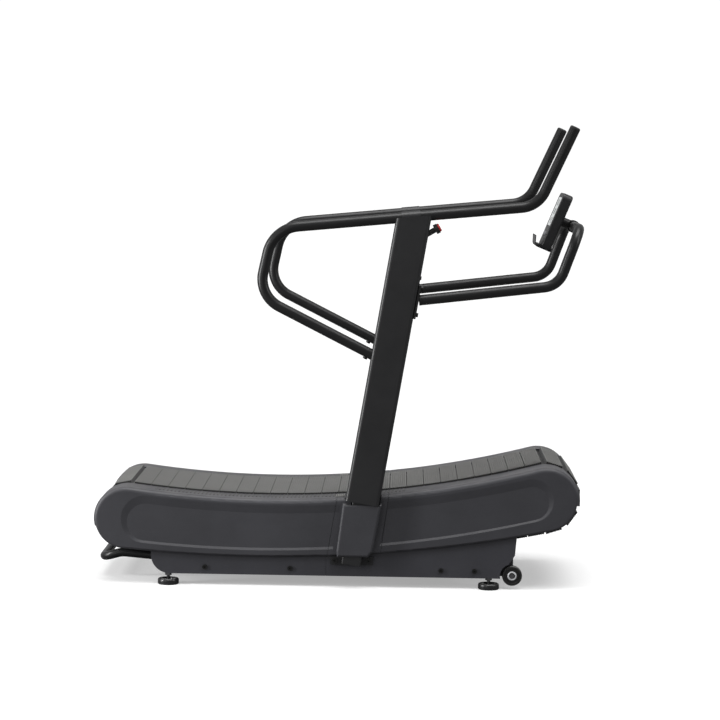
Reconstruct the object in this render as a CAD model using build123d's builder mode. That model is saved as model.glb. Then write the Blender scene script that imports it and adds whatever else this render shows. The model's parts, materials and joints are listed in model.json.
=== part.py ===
from build123d import *
import math
import os

# Curved manual treadmill. Millimetres. +X is the front, which the runner faces, +Y is the
# runner's left, and +Z is up. The origin is on the floor, midway between the ends and sides.

# ---------------------------------------------------------------- driving sizes: the deck
COVER_REAR = (-761.0, 238.0)        # middle of the cover's rounded rear end (x, z)
COVER_FRONT = (755.0, 325.0)        # middle of its rounded front end
COVER_REAR_RADIUS = 114.0
COVER_FRONT_RADIUS = 120.0
DECK_CURVE = 3800.0                 # radius of the hollow running curve
BELLY_CURVE = 5200.0                # radius of the cover's bottom edge
LOWER_INSET = 5.0                   # how far the cover's lower edge stands inside its upper one
COVER_OUTSIDE = 355.0               # half width over the covers
COVER_WALL = 5.0
SIDE_WALL = 9.0
RAIL_INSIDE = 230.0                 # half width of the open running surface
RIM_ROUND = 16.0
SEAM = 1.2                          # gap between neighbouring cover pieces

BELT_DROP = 5.0                     # the belt's drum centres lie this far below the cover's
BELT_REAR_RADIUS = 107.0            # to the top of the tread
BELT_FRONT_RADIUS = 113.0
BELT_SHIFT = 3.5                    # drum centres lie this far inside the cover's end centres
BELT_BELLY = 5000.0
SLAT_PITCH = 62.5                   # wanted pitch, rounded to a whole number of slats
SLAT_GAP = 3.5
SLAT_HALF = 300.0                   # half length of a slat
TREAD_THICK = 5.0
SLAT_THICK = 6.0
SLAT_RIB = 14.0
GROOVE_PITCH = 7.5
GROOVES = 7
BELT_THICK = 6.0
BELT_WIDTH = 25.0
BELT_Y = 252.0                      # middle of each drive belt
TOUCH = 0.3                         # clearance between moving pieces that roll or slide

# ---------------------------------------------------------------- driving sizes: the frame
PLATE_INSIDE = 308.0
PLATE_THICK = 6.0
BEAM_WIDE = 28.0
BEAM_WALL = 4.0
BEAM_BOTTOM = 40.0
BEAM_REAR = -668.0
BEAM_FRONT = 652.0
BEAM_JOINT_X = -36.0
CROSS_X = (-473.0, -165.0, 379.0, 500.0)
CROSS_SIZE = (50.0, 40.0)
CROSS_Z = 66.0
ROLLER_RADIUS = 16.0
ROLLER_PITCH = 62.0
ROLLERS = 21
ROLLER_BOLT = 5.0
SHAFT_RADIUS = 12.5
HOUSING_DEEP = 26.0
HOUSING_RADIUS = 36.0
WHEEL_CENTRE = (636.0, 50.0)
WHEEL_RADIUS = 36.0
WHEEL_WIDE = 22.0
AXLE_RADIUS = 6.0
FOOT_X = (-605.0, 552.0)
FOOT_RADIUS = 38.0
STUD_RADIUS = 6.0
HANDLE_RADIUS = 16.0
HANDLE_HALF = 200.0
HANDLE_REAR = -856.0

# ---------------------------------------------------------------- driving sizes: the upper frame
POST_Y = 370.0                      # middle plane of the upright and of the tubes on it
POST_LEAN = 9.4                     # degrees forward from vertical
POST_FOOT = (92.5, 311.0)           # where its axis meets the top of the boot (x, z)
POST_WIDE = 123.4
POST_DEEP = 50.0
POST_WALL = 3.0
SPIGOT_WIDE = 70.0
SPIGOT_DEEP = 34.0
SPIGOT_BOTTOM = 88.0
FOOT_BOLT_Z = 99.0
FOOT_BOLT_X = 61.0                  # each foot bolt's distance from the upright's axis
TUBE_RADIUS = 19.0
TUBE_WALL = 2.5
WELD_GAP = 0.05                     # radial play of a tube in what it is welded into
SLEEVE_WALL = 2.0
SLEEVE_HALF = 34.0
RAIL_HEIGHT = 1337.7                # hand rail's middle line above the floor, at the sleeve
RAIL_BACK = 9.5                     # the sleeve's middle lies this far behind the upright's axis
RAIL_SLOPE = 5.59                   # degrees up towards the front
# the other corners of the tubes, each as a step (x, z) from the middle of the sleeve
REAR_STEPS = ((-491.0, -48.1), (-541.6, -287.6))
REAR_BENDS = (123.0, 110.0)
STAY_STEP = (-128.0, -495.2)        # where the rear rail comes back to the upright
HORN_STEP = (448.0, 43.8)
HORN_LEAN = 65.5
HORN_LONG = 302.0
HORN_BEND = 100.0
FRONT_LEG_STEP = (31.0, -296.2)
FRONT_CORNER_STEP = (526.0, -237.2)
CROSSBAR_STEP = (599.0, -35.7)      # the crossbar that carries the console
FRONT_BEND = 80.0
CROSSBAR_BEND = 70.0
FLANGE = (126.0, 44.0, 8.0)         # height, width and thickness of the loop's end plates
FLANGE_BOLTS = 96.0
STAY_BOLT = 4.0

# ---------------------------------------------------------------- driving sizes: the console
CONSOLE_STEP = (-65.0, 17.0)        # middle of the console, from the crossbar
CONSOLE_TILT = 22.5                 # degrees back from vertical
CONSOLE_WIDE = 220.0
CONSOLE_TALL = 216.0
CONSOLE_THICK = 38.0
CONSOLE_WALL = 2.5
SCREEN_SIZE = (176.0, 112.0)
SCREEN_UP = 34.0
BUTTON_RADIUS = 9.0
BUTTON_PITCH = 44.0
BUTTON_DOWN = -56.0
BUTTON_TRAVEL = 2.0
CLAMP_WIDE = 56.0
STUB_RADIUS = 18.0
TRAY_WIDE = 190.0
KNOB_AXIS = 30.0                    # degrees up from level
KNOB_STEP = (62.0, -57.7)           # where the knob's stalk starts, from the sleeve


def heading(start, end):
    """Direction from one point to another, in degrees from 0 to 360."""
    return math.degrees(math.atan2(end[1] - start[1], end[0] - start[0])) % 360


def apex(first, second, first_reach, second_reach):
    """The upper point at the two given distances from two points."""
    span = math.dist(first, second)
    along = (first_reach**2 - second_reach**2 + span**2) / (2 * span)
    up = math.sqrt(first_reach**2 - along**2)
    ux, uz = (second[0] - first[0]) / span, (second[1] - first[1]) / span
    return (first[0] + along * ux - up * uz, first[1] + along * uz + up * ux)


class Loop:
    """A closed outline of four tangent arcs: two round ends, a hollow top and a bellied bottom."""

    def __init__(self, rear, front, rear_radius, front_radius, top_radius, bottom_radius):
        self.rear, self.front = rear, front
        self.rear_radius, self.front_radius = rear_radius, front_radius
        self.top_radius, self.bottom_radius = top_radius, bottom_radius
        self.top = apex(rear, front, top_radius + rear_radius, top_radius + front_radius)
        self.bottom = apex(rear, front, bottom_radius - rear_radius, bottom_radius - front_radius)
        self.rear_up, self.front_up = heading(rear, self.top), heading(front, self.top)
        self.rear_down, self.front_down = heading(self.bottom, rear), heading(self.bottom, front)

    def draw(self, grow=0.0):
        """The four arcs, moved outwards by grow. Called inside a BuildLine."""
        CenterArc(self.rear, self.rear_radius + grow, self.rear_up, self.rear_down - self.rear_up)
        CenterArc(self.bottom, self.bottom_radius + grow, self.rear_down,
                  self.front_down - self.rear_down)
        CenterArc(self.front, self.front_radius + grow, self.front_down - 360,
                  self.front_up - self.front_down + 360)
        CenterArc(self.top, self.top_radius - grow, self.front_up + 180,
                  self.rear_up - self.front_up)

    def on_top(self, share, grow=0.0):
        """A point (x, z) on the hollow top, from the rear (0) to the front (1)."""
        angle = math.radians(self.rear_up + share * (self.front_up - self.rear_up) + 180)
        reach = self.top_radius - grow
        return (self.top[0] + reach * math.cos(angle), self.top[1] + reach * math.sin(angle))


COVER = Loop(COVER_REAR, COVER_FRONT, COVER_REAR_RADIUS, COVER_FRONT_RADIUS,
             DECK_CURVE, BELLY_CURVE)
LOWER = Loop(COVER_REAR, COVER_FRONT, COVER_REAR_RADIUS - LOWER_INSET,
             COVER_FRONT_RADIUS - 2 * LOWER_INSET, DECK_CURVE, BELLY_CURVE)
BELT = Loop((COVER_REAR[0] + BELT_SHIFT, COVER_REAR[1] - BELT_DROP),
            (COVER_FRONT[0] - BELT_SHIFT, COVER_FRONT[1] - BELT_DROP),
            BELT_REAR_RADIUS, BELT_FRONT_RADIUS, DECK_CURVE, BELT_BELLY)

FRAME_OUTSIDE = PLATE_INSIDE + PLATE_THICK
BEAM_OUTSIDE = FRAME_OUTSIDE + BEAM_WIDE
BELT_OUTER = -(TREAD_THICK + SLAT_THICK + TOUCH)
BELT_INNER = BELT_OUTER - BELT_THICK
ROLLER_LINE = BELT_INNER - TOUCH / 2 - ROLLER_RADIUS
PULLEY_REAR = BELT_REAR_RADIUS + BELT_INNER - TOUCH
PULLEY_FRONT = BELT_FRONT_RADIUS + BELT_INNER - TOUCH
LEAN = math.radians(POST_LEAN)


def side_plane(y):
    """A sketching plane seen from the right, at y: local x is X, local y is Z."""
    return Plane.XZ.offset(-y)


def post_x(z):
    """The upright's axis at a height."""
    return POST_FOOT[0] + math.tan(LEAN) * (z - POST_FOOT[1])


FOOT_BOLTS = [(post_x(FOOT_BOLT_Z) + step, FOOT_BOLT_Z) for step in (-FOOT_BOLT_X, FOOT_BOLT_X)]
RAIL_AT_POST = (post_x(RAIL_HEIGHT) - RAIL_BACK, RAIL_HEIGHT)


def step_from(point, step):
    """A side-view point (x, z) a given step away from another."""
    return (point[0] + step[0], point[1] + step[1])


REAR_CORNERS = [step_from(RAIL_AT_POST, step) for step in REAR_STEPS]
STAY_FOOT = step_from(RAIL_AT_POST, STAY_STEP)
HORN_CORNER = step_from(RAIL_AT_POST, HORN_STEP)
FRONT_LEG_START = step_from(RAIL_AT_POST, FRONT_LEG_STEP)
FRONT_CORNER = step_from(RAIL_AT_POST, FRONT_CORNER_STEP)
CROSSBAR = step_from(RAIL_AT_POST, CROSSBAR_STEP)
CONSOLE_CENTRE = step_from(CROSSBAR, CONSOLE_STEP)


def post_plane(z, y=POST_Y):
    """The upright's cross-section plane where its axis is at height z."""
    return Plane(origin=(post_x(z), y, z), x_dir=(math.cos(LEAN), 0, -math.sin(LEAN)),
                 z_dir=(math.sin(LEAN), 0, math.cos(LEAN)))


def draw_bends(corners, radii):
    """Straight runs joined by round bends. Called inside a BuildLine."""
    points = [Vector(*corner) for corner in corners]
    start = points[0]
    for before, corner, after, radius in zip(points, points[1:], points[2:], radii):
        back = (before - corner).normalized()
        onward = (after - corner).normalized()
        half = math.radians(back.get_angle(onward) / 2)
        reach = radius / math.tan(half)
        middle = corner + (back + onward).normalized() * (radius / math.sin(half) - radius)
        Line(start, corner + back * reach)
        ThreePointArc(corner + back * reach, middle, corner + onward * reach)
        start = corner + onward * reach
    Line(start, points[-1])


def bent_tube(corners, radii, radius, wall):
    """A round tube along straight runs and bends."""
    with BuildPart() as tube:
        with BuildLine() as route:
            draw_bends(corners, radii)
        line = route.wire()
        with BuildSketch(Plane(origin=line @ 0, z_dir=line % 0)):
            Circle(radius)
            Circle(radius - wall, mode=Mode.SUBTRACT)
        sweep(path=line)
    return tube.part


def save(name, shape):
    """One STEP file for one named node."""
    shape.label = name
    export_step(shape, f"parts/{name}.step")


def save_pair(name, left):
    """The left piece and its mirror image on the right."""
    save(f"{name}_left", left)
    save(f"{name}_right", mirror(left, about=Plane.XZ))


os.makedirs("parts", exist_ok=True)


# ================================================================ covers
# Each side's cover is one banana-shaped shell, cut into a rear, a middle and a front piece.
BAND_END = ((-900.0, 208.0), (900.0, 312.0))     # the rim that laps the slats stops at this line
REAR_SEAM = ((4.0, 340.0), (-38.0, 80.0))
FRONT_SEAM = ((190.0, 360.0), (154.0, 80.0))
RECESS_FLOOR = Loop((-688.0, 226.0), (704.0, 316.0), 67.0, 60.0, 3900.0, 4300.0)
RECESS_BROW = Loop((-690.0, 237.0), (702.0, 327.0), 86.0, 78.0, 3850.0, 4250.0)
RECESS_DEEP = 5.0
RECESS_REAR = 75.0                  # the recess breaks off this far behind the upright's axis
RECESS_FRONT = 92.0                 # and starts again this far in front of it
BOSSES = ((-640, 195), (-360, 190), (-70, 200), (20, 240), (160, 250),
          (300, 240), (500, 265), (690, 300))
BOSS_RADIUS = 8.0
BOOT_OUTSIDE = 390.0
BOOT_TOP = POST_FOOT[1] - 3.0
BOOT_BOTTOM = 116.0
BOOT_SPREAD = 60.0                  # half width of the boot about the upright's axis


def draw_half(above):
    """The side view above or below the line where the rim stops. Called inside a BuildLine."""
    far = 600.0 if above else -100.0
    (x0, z0), (x1, z1) = BAND_END
    Polyline((x0, z0), (x1, z1), (x1, far), (x0, far), close=True)


def half_cover(loop, above, rounding):
    """Solid cover blank on one side of the rim line, with its outer edge rounded."""
    with BuildPart() as blank:
        with BuildSketch(side_plane(COVER_OUTSIDE)):
            with BuildLine():
                loop.draw()
            make_face()
        extrude(amount=COVER_OUTSIDE - RAIL_INSIDE)
        fillet(blank.faces().sort_by(Axis.Y)[-1].edges(), rounding)
        with BuildSketch(side_plane(COVER_OUTSIDE + 1)):
            with BuildLine():
                draw_half(above)
            make_face()
        extrude(amount=COVER_OUTSIDE - RAIL_INSIDE + 2, mode=Mode.INTERSECT)
    return blank.part


upper_blank = half_cover(COVER, True, RIM_ROUND)
lower_blank = half_cover(LOWER, False, RIM_ROUND / 2)

with BuildPart() as recess_room:
    # shallow racetrack recess in the side face, with a sloping brow
    with BuildSketch(side_plane(COVER_OUTSIDE)):
        with BuildLine():
            RECESS_BROW.draw()
        make_face()
    with BuildSketch(side_plane(COVER_OUTSIDE - RECESS_DEEP)):
        with BuildLine():
            RECESS_FLOOR.draw()
        make_face()
    loft(ruled=True)
    # it stops short of the boot, with ends that lean as the upright does
    with BuildSketch(side_plane(COVER_OUTSIDE + 1)):
        with BuildLine():
            Polyline((post_x(0) - RECESS_REAR, 0), (post_x(0) + RECESS_FRONT, 0),
                     (post_x(600) + RECESS_FRONT, 600), (post_x(600) - RECESS_REAR, 600), close=True)
        make_face()
    extrude(amount=RECESS_DEEP + 2, mode=Mode.SUBTRACT)

with BuildPart() as cover_shell:
    add(upper_blank)
    add(lower_blank)
    # hollow behind the side wall, open towards the belt
    with BuildSketch(side_plane(COVER_OUTSIDE - SIDE_WALL)):
        with BuildLine():
            COVER.draw(-COVER_WALL)
        make_face()
        with BuildLine():
            draw_half(False)
        make_face()
    extrude(amount=COVER_OUTSIDE, mode=Mode.SUBTRACT)
    add(recess_room.part, mode=Mode.SUBTRACT)
    # posts that hold the shell on the track plate
    with BuildSketch(side_plane(COVER_OUTSIDE - SIDE_WALL)):
        with Locations(*BOSSES):
            Circle(BOSS_RADIUS)
    extrude(amount=COVER_OUTSIDE - SIDE_WALL - FRAME_OUTSIDE)


def cover_piece(start, end):
    """The stretch of the shell between two seam lines, each a pair of points (x, z)."""
    with BuildPart() as piece:
        add(cover_shell.part)
        with BuildSketch(side_plane(COVER_OUTSIDE + 10)):
            with BuildLine():
                Polyline(start[0], end[0], (end[0][0], 700), (start[0][0], 700), close=True)
            make_face()
            with BuildLine():
                Polyline(start[0], end[0], end[1], start[1], close=True)
            make_face()
            with BuildLine():
                Polyline(start[1], end[1], (end[1][0], 0), (start[1][0], 0), close=True)
            make_face()
        extrude(amount=COVER_OUTSIDE, mode=Mode.INTERSECT)
    return piece.part


def shifted(seam, step):
    """A seam line moved along X."""
    return tuple((x + step, z) for x, z in seam)


def post_envelope(wide, deep, low, high, middle=POST_Y):
    """A slanting block around the upright's axis between two heights."""
    with BuildPart() as block:
        with BuildSketch(post_plane(low, middle)):
            Rectangle(wide, deep)
        extrude(amount=(high - low) / math.cos(LEAN))
    return block.part


SPIGOT_Y = BEAM_OUTSIDE + PLATE_THICK + SPIGOT_DEEP / 2 + 2
POST_CLEAR = 3.0

spigot_room = post_envelope(SPIGOT_WIDE + 2 * POST_CLEAR, SPIGOT_DEEP + 2 * POST_CLEAR,
                            20.0, 360.0, SPIGOT_Y)
post_room = post_envelope(POST_WIDE + 2 * POST_CLEAR, POST_DEEP + 2 * POST_CLEAR,
                          POST_FOOT[1] - 0.5, 420.0)

rear_cover = cover_piece(((-900.0, 340.0), (-900.0, 80.0)), REAR_SEAM)
front_cover = cover_piece(shifted(FRONT_SEAM, SEAM), ((900.0, 340.0), (900.0, 80.0)))

with BuildPart() as boot_blank:
    # slanting box around the foot of the upright, standing out from the side face
    with BuildSketch(side_plane(BOOT_OUTSIDE)):
        with BuildLine():
            Polyline((post_x(BOOT_TOP) - BOOT_SPREAD - 9, BOOT_TOP),
                     (post_x(BOOT_TOP) + BOOT_SPREAD + 12, BOOT_TOP),
                     (post_x(BOOT_BOTTOM) + BOOT_SPREAD + 12, BOOT_BOTTOM + 20),
                     (post_x(BOOT_BOTTOM) + BOOT_SPREAD - 4, BOOT_BOTTOM),
                     (post_x(BOOT_BOTTOM) - BOOT_SPREAD + 4, BOOT_BOTTOM),
                     (post_x(BOOT_BOTTOM) - BOOT_SPREAD + 2, BOOT_BOTTOM + 20), close=True)
        make_face()
    extrude(amount=BOOT_OUTSIDE - COVER_OUTSIDE + SIDE_WALL)
    fillet(boot_blank.faces().sort_by(Axis.Y)[-1].edges(), 10)

with BuildPart() as mid_cover:
    add(cover_piece(shifted(REAR_SEAM, SEAM), FRONT_SEAM))
    add(boot_blank.part)
    add(spigot_room, mode=Mode.SUBTRACT)
    add(post_room, mode=Mode.SUBTRACT)

save_pair("rear_cover", rear_cover)
save_pair("mid_cover", mid_cover.part)
save_pair("front_cover", front_cover)


# ================================================================ running belt
with BuildLine() as pitch_line:
    BELT.draw(BELT_OUTER - BELT_THICK / 2)
PITCH_WIRE = pitch_line.wire()
SLATS = round(PITCH_WIRE.length / SLAT_PITCH)
SLAT_WIDE = PITCH_WIRE.length / SLATS - SLAT_GAP


def slat_places():
    """Places round the belt, standing on its tread line: local z points outwards."""
    places = []
    for index in range(SLATS):
        spot = PITCH_WIRE @ ((index + 0.5) / SLATS)
        along = PITCH_WIRE % ((index + 0.5) / SLATS)
        outwards = Vector(along.Y, 0, -along.X)
        origin = Vector(spot.X, 0, spot.Y) + outwards * (BELT_THICK / 2 - BELT_OUTER)
        places.append(Plane(origin=origin, x_dir=(along.X, 0, along.Y), z_dir=outwards).location)
    return places


with BuildPart() as one_slat:
    # aluminium tee: a flat top with a stiffening rib between the two drive belts
    with BuildSketch(Plane.XY.offset(-TREAD_THICK)):
        Rectangle(SLAT_WIDE, 2 * SLAT_HALF)
    extrude(amount=-SLAT_THICK)
    with BuildSketch(Plane.XY.offset(-TREAD_THICK - SLAT_THICK)):
        Rectangle(6, 2 * (BELT_Y - BELT_WIDTH))
    extrude(amount=-SLAT_RIB)

with BuildPart() as one_pad:
    # rubber pad with fine grooves across the running direction
    with BuildSketch(Plane.XZ.offset(-SLAT_HALF)):
        with Locations((0, -TREAD_THICK / 2)):
            Rectangle(SLAT_WIDE, TREAD_THICK)
        with Locations((0, -0.75)):
            with GridLocations(GROOVE_PITCH, 1, GROOVES, 1):
                Rectangle(2.6, 1.5, mode=Mode.SUBTRACT)
    extrude(amount=2 * SLAT_HALF)

with BuildPart() as slats:
    with Locations(*slat_places()):
        add(one_slat.part)

with BuildPart() as tread_pads:
    with Locations(*slat_places()):
        add(one_pad.part)

save("slats", slats.part)
save("tread_pads", tread_pads.part)

with BuildPart() as drive_belt:
    with BuildSketch(side_plane(BELT_Y + BELT_WIDTH / 2)):
        with BuildLine():
            BELT.draw(BELT_OUTER)
        make_face()
        with BuildLine():
            BELT.draw(BELT_INNER)
        make_face(mode=Mode.SUBTRACT)
    extrude(amount=BELT_WIDTH)
save_pair("drive_belt", drive_belt.part)


# ================================================================ track rollers
def roller_spots():
    """Roller centres (x, z) under the hollow top run."""
    spread = math.degrees(ROLLER_PITCH / (DECK_CURVE - ROLLER_LINE))
    span = BELT.front_up - BELT.rear_up
    first = 0.5 - spread * (ROLLERS - 1) / 2 / span
    return [BELT.on_top(first + index * spread / span, ROLLER_LINE) for index in range(ROLLERS)]


with BuildPart() as track_rollers:
    with BuildSketch(side_plane(BELT_Y + 12)):
        with Locations(*roller_spots()):
            Circle(ROLLER_RADIUS)
            Circle(ROLLER_BOLT, mode=Mode.SUBTRACT)
    extrude(amount=24)
save_pair("track_rollers", track_rollers.part)

with BuildPart() as roller_bolts:
    # plain shank through the roller and the track plate, with a head and a nut
    with BuildSketch(side_plane(FRAME_OUTSIDE + 8)):
        with Locations(*roller_spots()):
            Circle(ROLLER_BOLT)
    extrude(amount=FRAME_OUTSIDE + 8 - BELT_Y + 12)
    with BuildSketch(side_plane(BELT_Y - 12)):
        with Locations(*roller_spots()):
            Circle(ROLLER_BOLT + 3)
    extrude(amount=5)
    with BuildSketch(side_plane(PLATE_INSIDE)):
        with Locations(*roller_spots()):
            Circle(ROLLER_BOLT + 3)
    extrude(amount=PLATE_INSIDE - BELT_Y - 12)
    with BuildSketch(side_plane(FRAME_OUTSIDE + 7)):
        with Locations(*roller_spots()):
            RegularPolygon(ROLLER_BOLT + 3.5, 6)
    extrude(amount=7)
    mirror(about=Plane.XZ)
save("roller_bolts", roller_bolts.part)


# ================================================================ base frame
WINDOWS = ((-560, 175), (-300, 165), (-40, 175), (220, 200), (480, 240))
WINDOW_SIZE = (160, 60)

with BuildPart() as track_plate:
    with BuildSketch(side_plane(FRAME_OUTSIDE)):
        with BuildLine():
            COVER.draw(-3 * COVER_WALL)
        make_face()
        # skirt down to the cross members, and a lug for the transport wheel
        with BuildLine():
            Polyline((BEAM_REAR + 20, 200), (BEAM_FRONT - 12, 240), (BEAM_FRONT - 12, WHEEL_CENTRE[1]),
                     (590, BEAM_BOTTOM + 4), (BEAM_REAR + 80, BEAM_BOTTOM + 4),
                     (BEAM_REAR + 20, 110), close=True)
        make_face()
        with Locations(WHEEL_CENTRE):
            Circle(20)
            Circle(AXLE_RADIUS, mode=Mode.SUBTRACT)
        with Locations(*roller_spots()):
            Circle(ROLLER_BOLT, mode=Mode.SUBTRACT)
        with Locations(*WINDOWS):
            SlotOverall(*WINDOW_SIZE, mode=Mode.SUBTRACT)
    extrude(amount=PLATE_THICK)
    # bolt holes into the cross members
    with BuildSketch(side_plane(FRAME_OUTSIDE)):
        with Locations(*[(x, CROSS_Z) for x in CROSS_X]):
            Circle(ROLLER_BOLT)
    extrude(amount=PLATE_THICK, mode=Mode.SUBTRACT)
save_pair("track_plate", track_plate.part)


def draw_beam(inset):
    """Side view of a base beam, smaller all round by inset. Called inside a BuildLine."""
    low, rear, front = BEAM_BOTTOM + inset, BEAM_REAR + inset, BEAM_FRONT - inset
    arch = WHEEL_RADIUS + 8 + inset
    wheel_x, wheel_z = WHEEL_CENTRE
    arch_x = wheel_x - math.sqrt(arch**2 - (wheel_z - low) ** 2)
    lean = math.radians(108)
    arch_end = (wheel_x + arch * math.cos(lean), wheel_z + arch * math.sin(lean))
    arch_mid = (wheel_x + arch * math.cos(math.radians(145)),
                wheel_z + arch * math.sin(math.radians(145)))
    Line((rear, 150 - inset), (rear, 108))
    ThreePointArc((rear, 108), (rear + 20 - inset / 4, 60 + inset / 4), (rear + 68, low))
    Line((rear + 68, low), (arch_x, low))
    ThreePointArc((arch_x, low), arch_mid, arch_end)
    Line(arch_end, (front - 7, 125))
    Line((front - 7, 125), (front, 205 - inset))
    ThreePointArc((front, 205 - inset), (-16, 134 - inset), (rear, 150 - inset))


with BuildPart() as base_beam:
    # pressed channel, open towards the track plate
    with BuildSketch(side_plane(BEAM_OUTSIDE)):
        with BuildLine():
            draw_beam(0)
        make_face()
    extrude(amount=BEAM_WIDE)
    with BuildSketch(side_plane(BEAM_OUTSIDE - BEAM_WALL)):
        with BuildLine():
            draw_beam(BEAM_WALL)
        make_face()
    extrude(amount=BEAM_WIDE, mode=Mode.SUBTRACT)
    # fine joint line across the outer face
    with BuildSketch(side_plane(BEAM_OUTSIDE)):
        with Locations((BEAM_JOINT_X, 100)):
            Rectangle(1.4, 200)
    extrude(amount=1.2, mode=Mode.SUBTRACT)
    # bolt bosses that reach the track plate
    with BuildSketch(side_plane(BEAM_OUTSIDE - BEAM_WALL)):
        with Locations(*[(x, CROSS_Z) for x in CROSS_X]):
            Circle(13)
    extrude(amount=BEAM_WIDE - BEAM_WALL)
    with BuildSketch(side_plane(BEAM_OUTSIDE)):
        with Locations(*[(x, CROSS_Z) for x in CROSS_X]):
            Circle(ROLLER_BOLT)
    extrude(amount=BEAM_WIDE, mode=Mode.SUBTRACT)
    # plain holes for the upright's foot bolts and for the studs of the levelling feet
    with BuildSketch(side_plane(BEAM_OUTSIDE)):
        with Locations(*FOOT_BOLTS):
            Circle(STUD_RADIUS)
    extrude(amount=BEAM_WALL, mode=Mode.SUBTRACT)
    with BuildSketch(Plane.XY.offset(BEAM_BOTTOM - 1)):
        with Locations(*[(x, FRAME_OUTSIDE + BEAM_WIDE / 2) for x in FOOT_X]):
            Circle(STUD_RADIUS + 0.1)
    extrude(amount=BEAM_WALL + 2, mode=Mode.SUBTRACT)
save_pair("base_beam", base_beam.part)

with BuildPart() as cross_members:
    with Locations(*[(x, 0, CROSS_Z) for x in CROSS_X]):
        Box(CROSS_SIZE[0], 2 * PLATE_INSIDE, CROSS_SIZE[1])
        Box(CROSS_SIZE[0] - 6, 2 * PLATE_INSIDE - 16, CROSS_SIZE[1] - 6, mode=Mode.SUBTRACT)
        Cylinder(ROLLER_BOLT, 2 * PLATE_INSIDE, rotation=(90, 0, 0), mode=Mode.SUBTRACT)
save("cross_members", cross_members.part)

with BuildPart() as base_bolts:
    for side in (1, -1):
        head = side_plane(side * BEAM_OUTSIDE)
        with BuildSketch(head):
            with Locations(*[(x, CROSS_Z) for x in CROSS_X]):
                Circle(ROLLER_BOLT)
        extrude(amount=side * (BEAM_WIDE + PLATE_THICK + 12))
        with BuildSketch(head):
            with Locations(*[(x, CROSS_Z) for x in CROSS_X]):
                Circle(9)
        extrude(amount=-side * 5)
        with BuildSketch(head):
            with Locations(*[(x, CROSS_Z) for x in CROSS_X]):
                RegularPolygon(4.5, 6)
        extrude(amount=-side * 5, mode=Mode.SUBTRACT)
save("base_bolts", base_bolts.part)

HANDLE_START = CROSS_X[0] - CROSS_SIZE[0] / 2 - 1.4
HANDLE_Z = CROSS_Z + 2
handle_side = ((HANDLE_START, HANDLE_HALF, HANDLE_Z), (-790.0, HANDLE_HALF, 92.0),
               (HANDLE_REAR, HANDLE_HALF, 72.0))
handle_corners = handle_side + tuple((x, -y, z) for x, y, z in reversed(handle_side))
save("lift_handle", bent_tube(handle_corners, (90, 45, 45, 90), HANDLE_RADIUS, 2.5))


# ================================================================ feet and transport wheels
FOOT_Y = FRAME_OUTSIDE + BEAM_WIDE / 2
FOOT_TALL = 13.0

with BuildPart() as foot:
    # moulded pad on a threaded stud, drawn about its own axis
    with BuildSketch(Plane.XZ):
        with BuildLine():
            Polyline((0, 0), (FOOT_RADIUS - 3, 0), (FOOT_RADIUS, 3), (FOOT_RADIUS, 7),
                     (FOOT_RADIUS - 6, FOOT_TALL - 2), (14, FOOT_TALL), (12, FOOT_TALL + 5),
                     (STUD_RADIUS, FOOT_TALL + 5), (STUD_RADIUS, 72), (0, 72), close=True)
        make_face()
    revolve(axis=Axis.Z)

for row, x in zip(("rear", "front"), FOOT_X):
    save_pair(f"{row}_foot", foot.part.moved(Location((x, FOOT_Y, 0))))

with BuildPart() as lock_nuts:
    for side in (1, -1):
        with BuildSketch(Plane.XY.offset(BEAM_BOTTOM)):
            with Locations(*[(x, side * FOOT_Y) for x in FOOT_X]):
                RegularPolygon(12, 6)
                Circle(STUD_RADIUS + 0.1, mode=Mode.SUBTRACT)
        extrude(amount=-8)
save("lock_nuts", lock_nuts.part)

WHEEL_INNER = FRAME_OUTSIDE + 3

with BuildPart() as wheel:
    # tyre, web and hub turned as one piece
    with BuildSketch(Plane.XZ):
        with BuildLine():
            Polyline((AXLE_RADIUS + 0.1, 0), (14, 0), (16, 5), (26, 5), (28, 0), (33, 0), (36, 3),
                     (36, WHEEL_WIDE - 3), (33, WHEEL_WIDE), (28, WHEEL_WIDE), (26, WHEEL_WIDE - 5),
                     (16, WHEEL_WIDE - 5), (14, WHEEL_WIDE), (AXLE_RADIUS + 0.1, WHEEL_WIDE), close=True)
        make_face()
    revolve(axis=Axis.Z)
wheel_place = Plane(origin=(WHEEL_CENTRE[0], WHEEL_INNER, WHEEL_CENTRE[1]), z_dir=(0, 1, 0))
save_pair("transport_wheel", wheel.part.moved(wheel_place.location))

with BuildPart() as wheel_axles:
    for side in (1, -1):
        with BuildSketch(side_plane(side * (PLATE_INSIDE - 6))):
            with Locations(WHEEL_CENTRE):
                Circle(AXLE_RADIUS)
        extrude(amount=-side * (WHEEL_INNER + WHEEL_WIDE + 1 - PLATE_INSIDE + 6))
        for inner, long, radius in ((PLATE_INSIDE - 7, 7, 10), (FRAME_OUTSIDE, 2.7, 9),
                                    (WHEEL_INNER + WHEEL_WIDE + TOUCH, 4, 8)):
            with BuildSketch(side_plane(side * inner)):
                with Locations(WHEEL_CENTRE):
                    Circle(radius)
            extrude(amount=-side * long)
save("wheel_axles", wheel_axles.part)


# ================================================================ drums and brake
def drum_centre(end):
    return BELT.front if end == "front" else BELT.rear


def shaft(end):
    """Turned shaft carried by the two bearing housings."""
    with BuildPart() as bar:
        with BuildSketch(side_plane(PLATE_INSIDE - 2)):
            with Locations(drum_centre(end)):
                Circle(SHAFT_RADIUS)
        extrude(amount=2 * (PLATE_INSIDE - 2))
    return bar.part


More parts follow.
